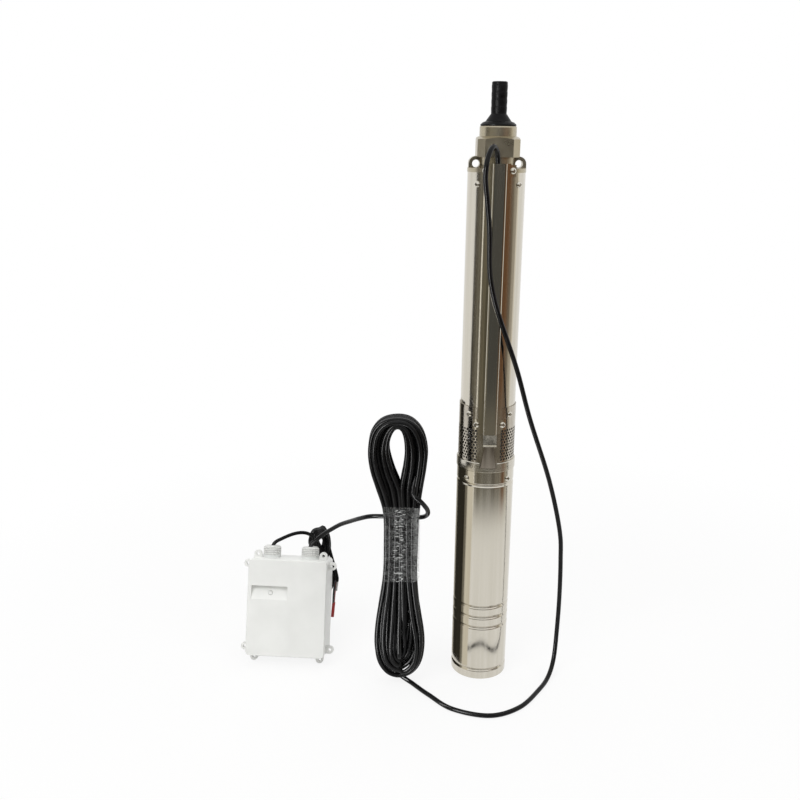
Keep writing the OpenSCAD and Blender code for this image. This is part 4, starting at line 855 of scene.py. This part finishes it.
# %% Dark curtain for the reflections
CURTAIN_BANDS = [
    (0.00, (0.02, 0.02, 0.015)), (0.05, (0.08, 0.07, 0.055)), (0.14, (0.20, 0.185, 0.145)),
    (0.26, (0.15, 0.135, 0.10)), (0.36, (0.17, 0.155, 0.115)), (0.44, (0.10, 0.102, 0.10)),
    (0.50, (0.085, 0.09, 0.088)), (0.535, (0.05, 0.035, 0.025)), (0.63, (0.05, 0.034, 0.023)),
    (0.69, (0.20, 0.105, 0.055)), (0.77, (0.22, 0.125, 0.07)), (0.83, (0.15, 0.12, 0.09)),
    (0.89, (0.36, 0.32, 0.26)), (0.95, (0.62, 0.58, 0.50)), (1.00, (0.75, 0.72, 0.65))]
FLOOR_BANDS = [
    (0.00, (0.05, 0.05, 0.04)), (0.14, (0.25, 0.23, 0.19)), (0.30, (0.15, 0.135, 0.10)),
    (0.45, (0.18, 0.17, 0.14)), (0.60, (0.16, 0.145, 0.12)), (0.78, (0.22, 0.20, 0.165)),
    (0.84, (0.20, 0.11, 0.06)), (0.88, (0.24, 0.15, 0.10)), (0.92, (0.50, 0.46, 0.38)),
    (1.00, (0.75, 0.72, 0.65))]
CURTAIN_PROFILE = [(0.56, 0.002), (0.66, 0.002), (0.76, 0.002), (1.55, 0.002), (1.55, 0.95)]
CURTAIN_FROM, CURTAIN_TO, CURTAIN_STEPS = np.radians(-88), np.radians(96), 65


def round_wall(angles, profile):
    """Rows of points swept through the angles, one row for each (radius, height) of the profile."""
    return np.stack([np.column_stack([r * np.sin(angles), -r * np.cos(angles), np.full(len(angles), z)])
                     for r, z in profile])


def shining_material(name):
    """A material that does nothing but shine; returns it, its tree and the colour it shines with."""
    material, tree, shader = new_material(name)
    tree.nodes.remove(shader)
    glow = tree.nodes.new("ShaderNodeEmission")
    tree.links.new(glow.outputs[0], tree.nodes["Material Output"].inputs["Surface"])
    return material, tree, glow.inputs["Color"]


def glossy_only(thing):
    """Leaves a stage piece to reflections alone."""
    thing.visible_camera = False
    thing.visible_diffuse = False
    thing.visible_shadow = False
    thing.visible_transmission = False


def curtain_material(bands, floor_bands):
    """Upright bands of tone with finer streaks. The part that lies on the floor has bands of its own, and
    its hem fades into the white."""
    material, tree, shine = shining_material("curtain_cloth")
    place = tree.nodes.new("ShaderNodeUVMap")
    split = tree.nodes.new("ShaderNodeSeparateXYZ")
    tree.links.new(place.outputs["UV"], split.inputs[0])
    lies = tree.nodes.new("ShaderNodeMix")
    lies.data_type = "VECTOR"
    for slot, steps in (("A", floor_bands), ("B", bands)):
        tones = tree.nodes.new("ShaderNodeValToRGB")
        ramp = tones.color_ramp
        for k, (at, tone) in enumerate(steps):
            element = ramp.elements[k] if k < 2 else ramp.elements.new(at)
            element.position = at
            element.color = (*tone, 1.0)
        tree.links.new(split.outputs["X"], tones.inputs["Fac"])
        tree.links.new(tones.outputs["Color"], lies.inputs[slot])
    rises = map_range(tree, split.outputs["Y"], 0.66, 0.76)
    tree.links.new(rises, lies.inputs["Factor"])
    folds = noise_node(tree, stretched(tree, place.outputs["UV"], (46.0, 1.5, 1.0)), 1.0, 4.0)
    streaked = tree.nodes.new("ShaderNodeVectorMath")
    streaked.operation = "SCALE"
    tree.links.new(lies.outputs["Result"], streaked.inputs[0])
    tree.links.new(map_range(tree, folds, 0.35, 0.65, 0.55, 1.45), streaked.inputs["Scale"])
    hem = map_range(tree, split.outputs["Y"], 0.0, 0.5)
    hem.node.interpolation_type = "SMOOTHSTEP"
    blend = tree.nodes.new("ShaderNodeMix")
    blend.data_type = "VECTOR"
    blend.inputs["A"].default_value = (0.92, 0.92, 0.90)
    tree.links.new(hem, blend.inputs["Factor"])
    tree.links.new(streaked.outputs["Vector"], blend.inputs["B"])
    tree.links.new(blend.outputs["Result"], shine)
    return material


sweep = np.linspace(CURTAIN_FROM, CURTAIN_TO, CURTAIN_STEPS)
curtain = stage_mesh("curtain", round_wall(sweep, CURTAIN_PROFILE),
                     grid_faces(len(CURTAIN_PROFILE), CURTAIN_STEPS, False),
                     curtain_material(CURTAIN_BANDS, FLOOR_BANDS))
corner = np.empty(len(curtain.data.loops), dtype=np.int32)
curtain.data.loops.foreach_get("vertex_index", corner)
across = (corner % CURTAIN_STEPS) / (CURTAIN_STEPS - 1)
up_cloth = (corner // CURTAIN_STEPS) / (len(CURTAIN_PROFILE) - 1)
curtain_uv = curtain.data.uv_layers.new(name="UVMap")
curtain_uv.data.foreach_set("uv", np.column_stack([across, up_cloth]).astype(np.float32).ravel())
glossy_only(curtain)


# %% Reflection cards
CARD_STEPS, CLOSE_R, CLOSE_LOW = 9, 0.062, 0.001
CLOSE_CARDS = [
    ("pale_bounce", -57.0, -38.0, 0.30, (0.80, 0.76, 0.66)),
    ("edge_soft", -66.0, -57.0, 0.30, (0.22, 0.205, 0.17)),
    ("edge_dark", -86.0, -66.0, 0.30, (0.035, 0.032, 0.025)),
    ("edge_deep", -112.0, -86.0, 0.385, (0.03, 0.028, 0.022)),
    ("edge_far", -128.0, -112.0, 0.385, (0.42, 0.40, 0.35))]


def card(name, radius, start, end, low, high, tone):
    """An upright strip of a cylinder round the pump that shines with one tone in reflections only."""
    material, _, shine = shining_material(name)
    shine.default_value = (*tone, 1.0)
    angles = np.radians(np.linspace(start, end, CARD_STEPS))
    points = round_wall(angles, [(radius, low), (radius, high)])
    glossy_only(stage_mesh(name, points, grid_faces(2, CARD_STEPS, False), material))


card("bright_strip", 0.60, -52.0, -48.0, 0.02, 0.68, (1.3, 1.27, 1.2))
for label, start, end, high, tone in CLOSE_CARDS:
    card(label, CLOSE_R, start, end, CLOSE_LOW, high, tone)
print("curtain and cards", len(curtain.data.polygons))


# %% Lamps and world
def soft_lamp(name, at, aim, size, watts, shines_on=()):
    """An area lamp that looks at a point, unseen by the camera. With a list of pieces it shines on those
    alone and leaves a highlight on them."""
    data = bpy.data.lights.new(name, "AREA")
    data.shape = "RECTANGLE"
    data.size, data.size_y = size
    data.energy = watts
    lamp = bpy.data.objects.new(name, data)
    lamp.location = at
    lamp.rotation_euler = (Vector(aim) - Vector(at)).to_track_quat("-Z", "Y").to_euler()
    lamp.visible_camera = False
    lamp.visible_glossy = bool(shines_on)
    scene.collection.objects.link(lamp)
    if shines_on:
        lamp.visible_diffuse = False
        lamp.light_linking.receiver_collection = bpy.data.collections.new(name + "_targets")
        for piece in shines_on:
            lamp.light_linking.receiver_collection.objects.link(piece)


soft_lamp("key", (-1.2, -1.5, 2.2), (-0.1, 0.0, 0.3), (1.4, 1.4), 30.0)
soft_lamp("fill", (1.6, -1.2, 1.4), (0.0, 0.0, 0.3), (1.2, 1.6), 11.0)
soft_lamp("top", (0.0, 0.4, 2.4), (-0.1, 0.0, 0.2), (1.6, 1.6), 18.0)
soft_lamp("cable_glint", (-0.60, -0.75, 0.42), (-0.11, -0.05, 0.42), (0.32, 0.84), 13.0,
          [supply_cable, riser, mains_lead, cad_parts["hose_tail"]])
soft_lamp("hank_glint", (-0.16, -0.12, 0.112), (-0.11, -0.05, 0.112), (0.03, 0.21), 0.36, [supply_cable])
ROOM_LIGHT = 0.46
world = bpy.data.worlds.new("room")
scene.world = world
world.use_nodes = True
room = world.node_tree
room_back = room.nodes["Background"]
room_back.inputs["Color"].default_value = (1.0, 1.0, 1.0, 1.0)
room_level = math_node(room, "MULTIPLY_ADD", seen_rays(room), 1.0 - ROOM_LIGHT)
room_level.node.inputs[2].default_value = ROOM_LIGHT
room.links.new(room_level, room_back.inputs["Strength"])
scene.view_settings.view_transform = "Standard"
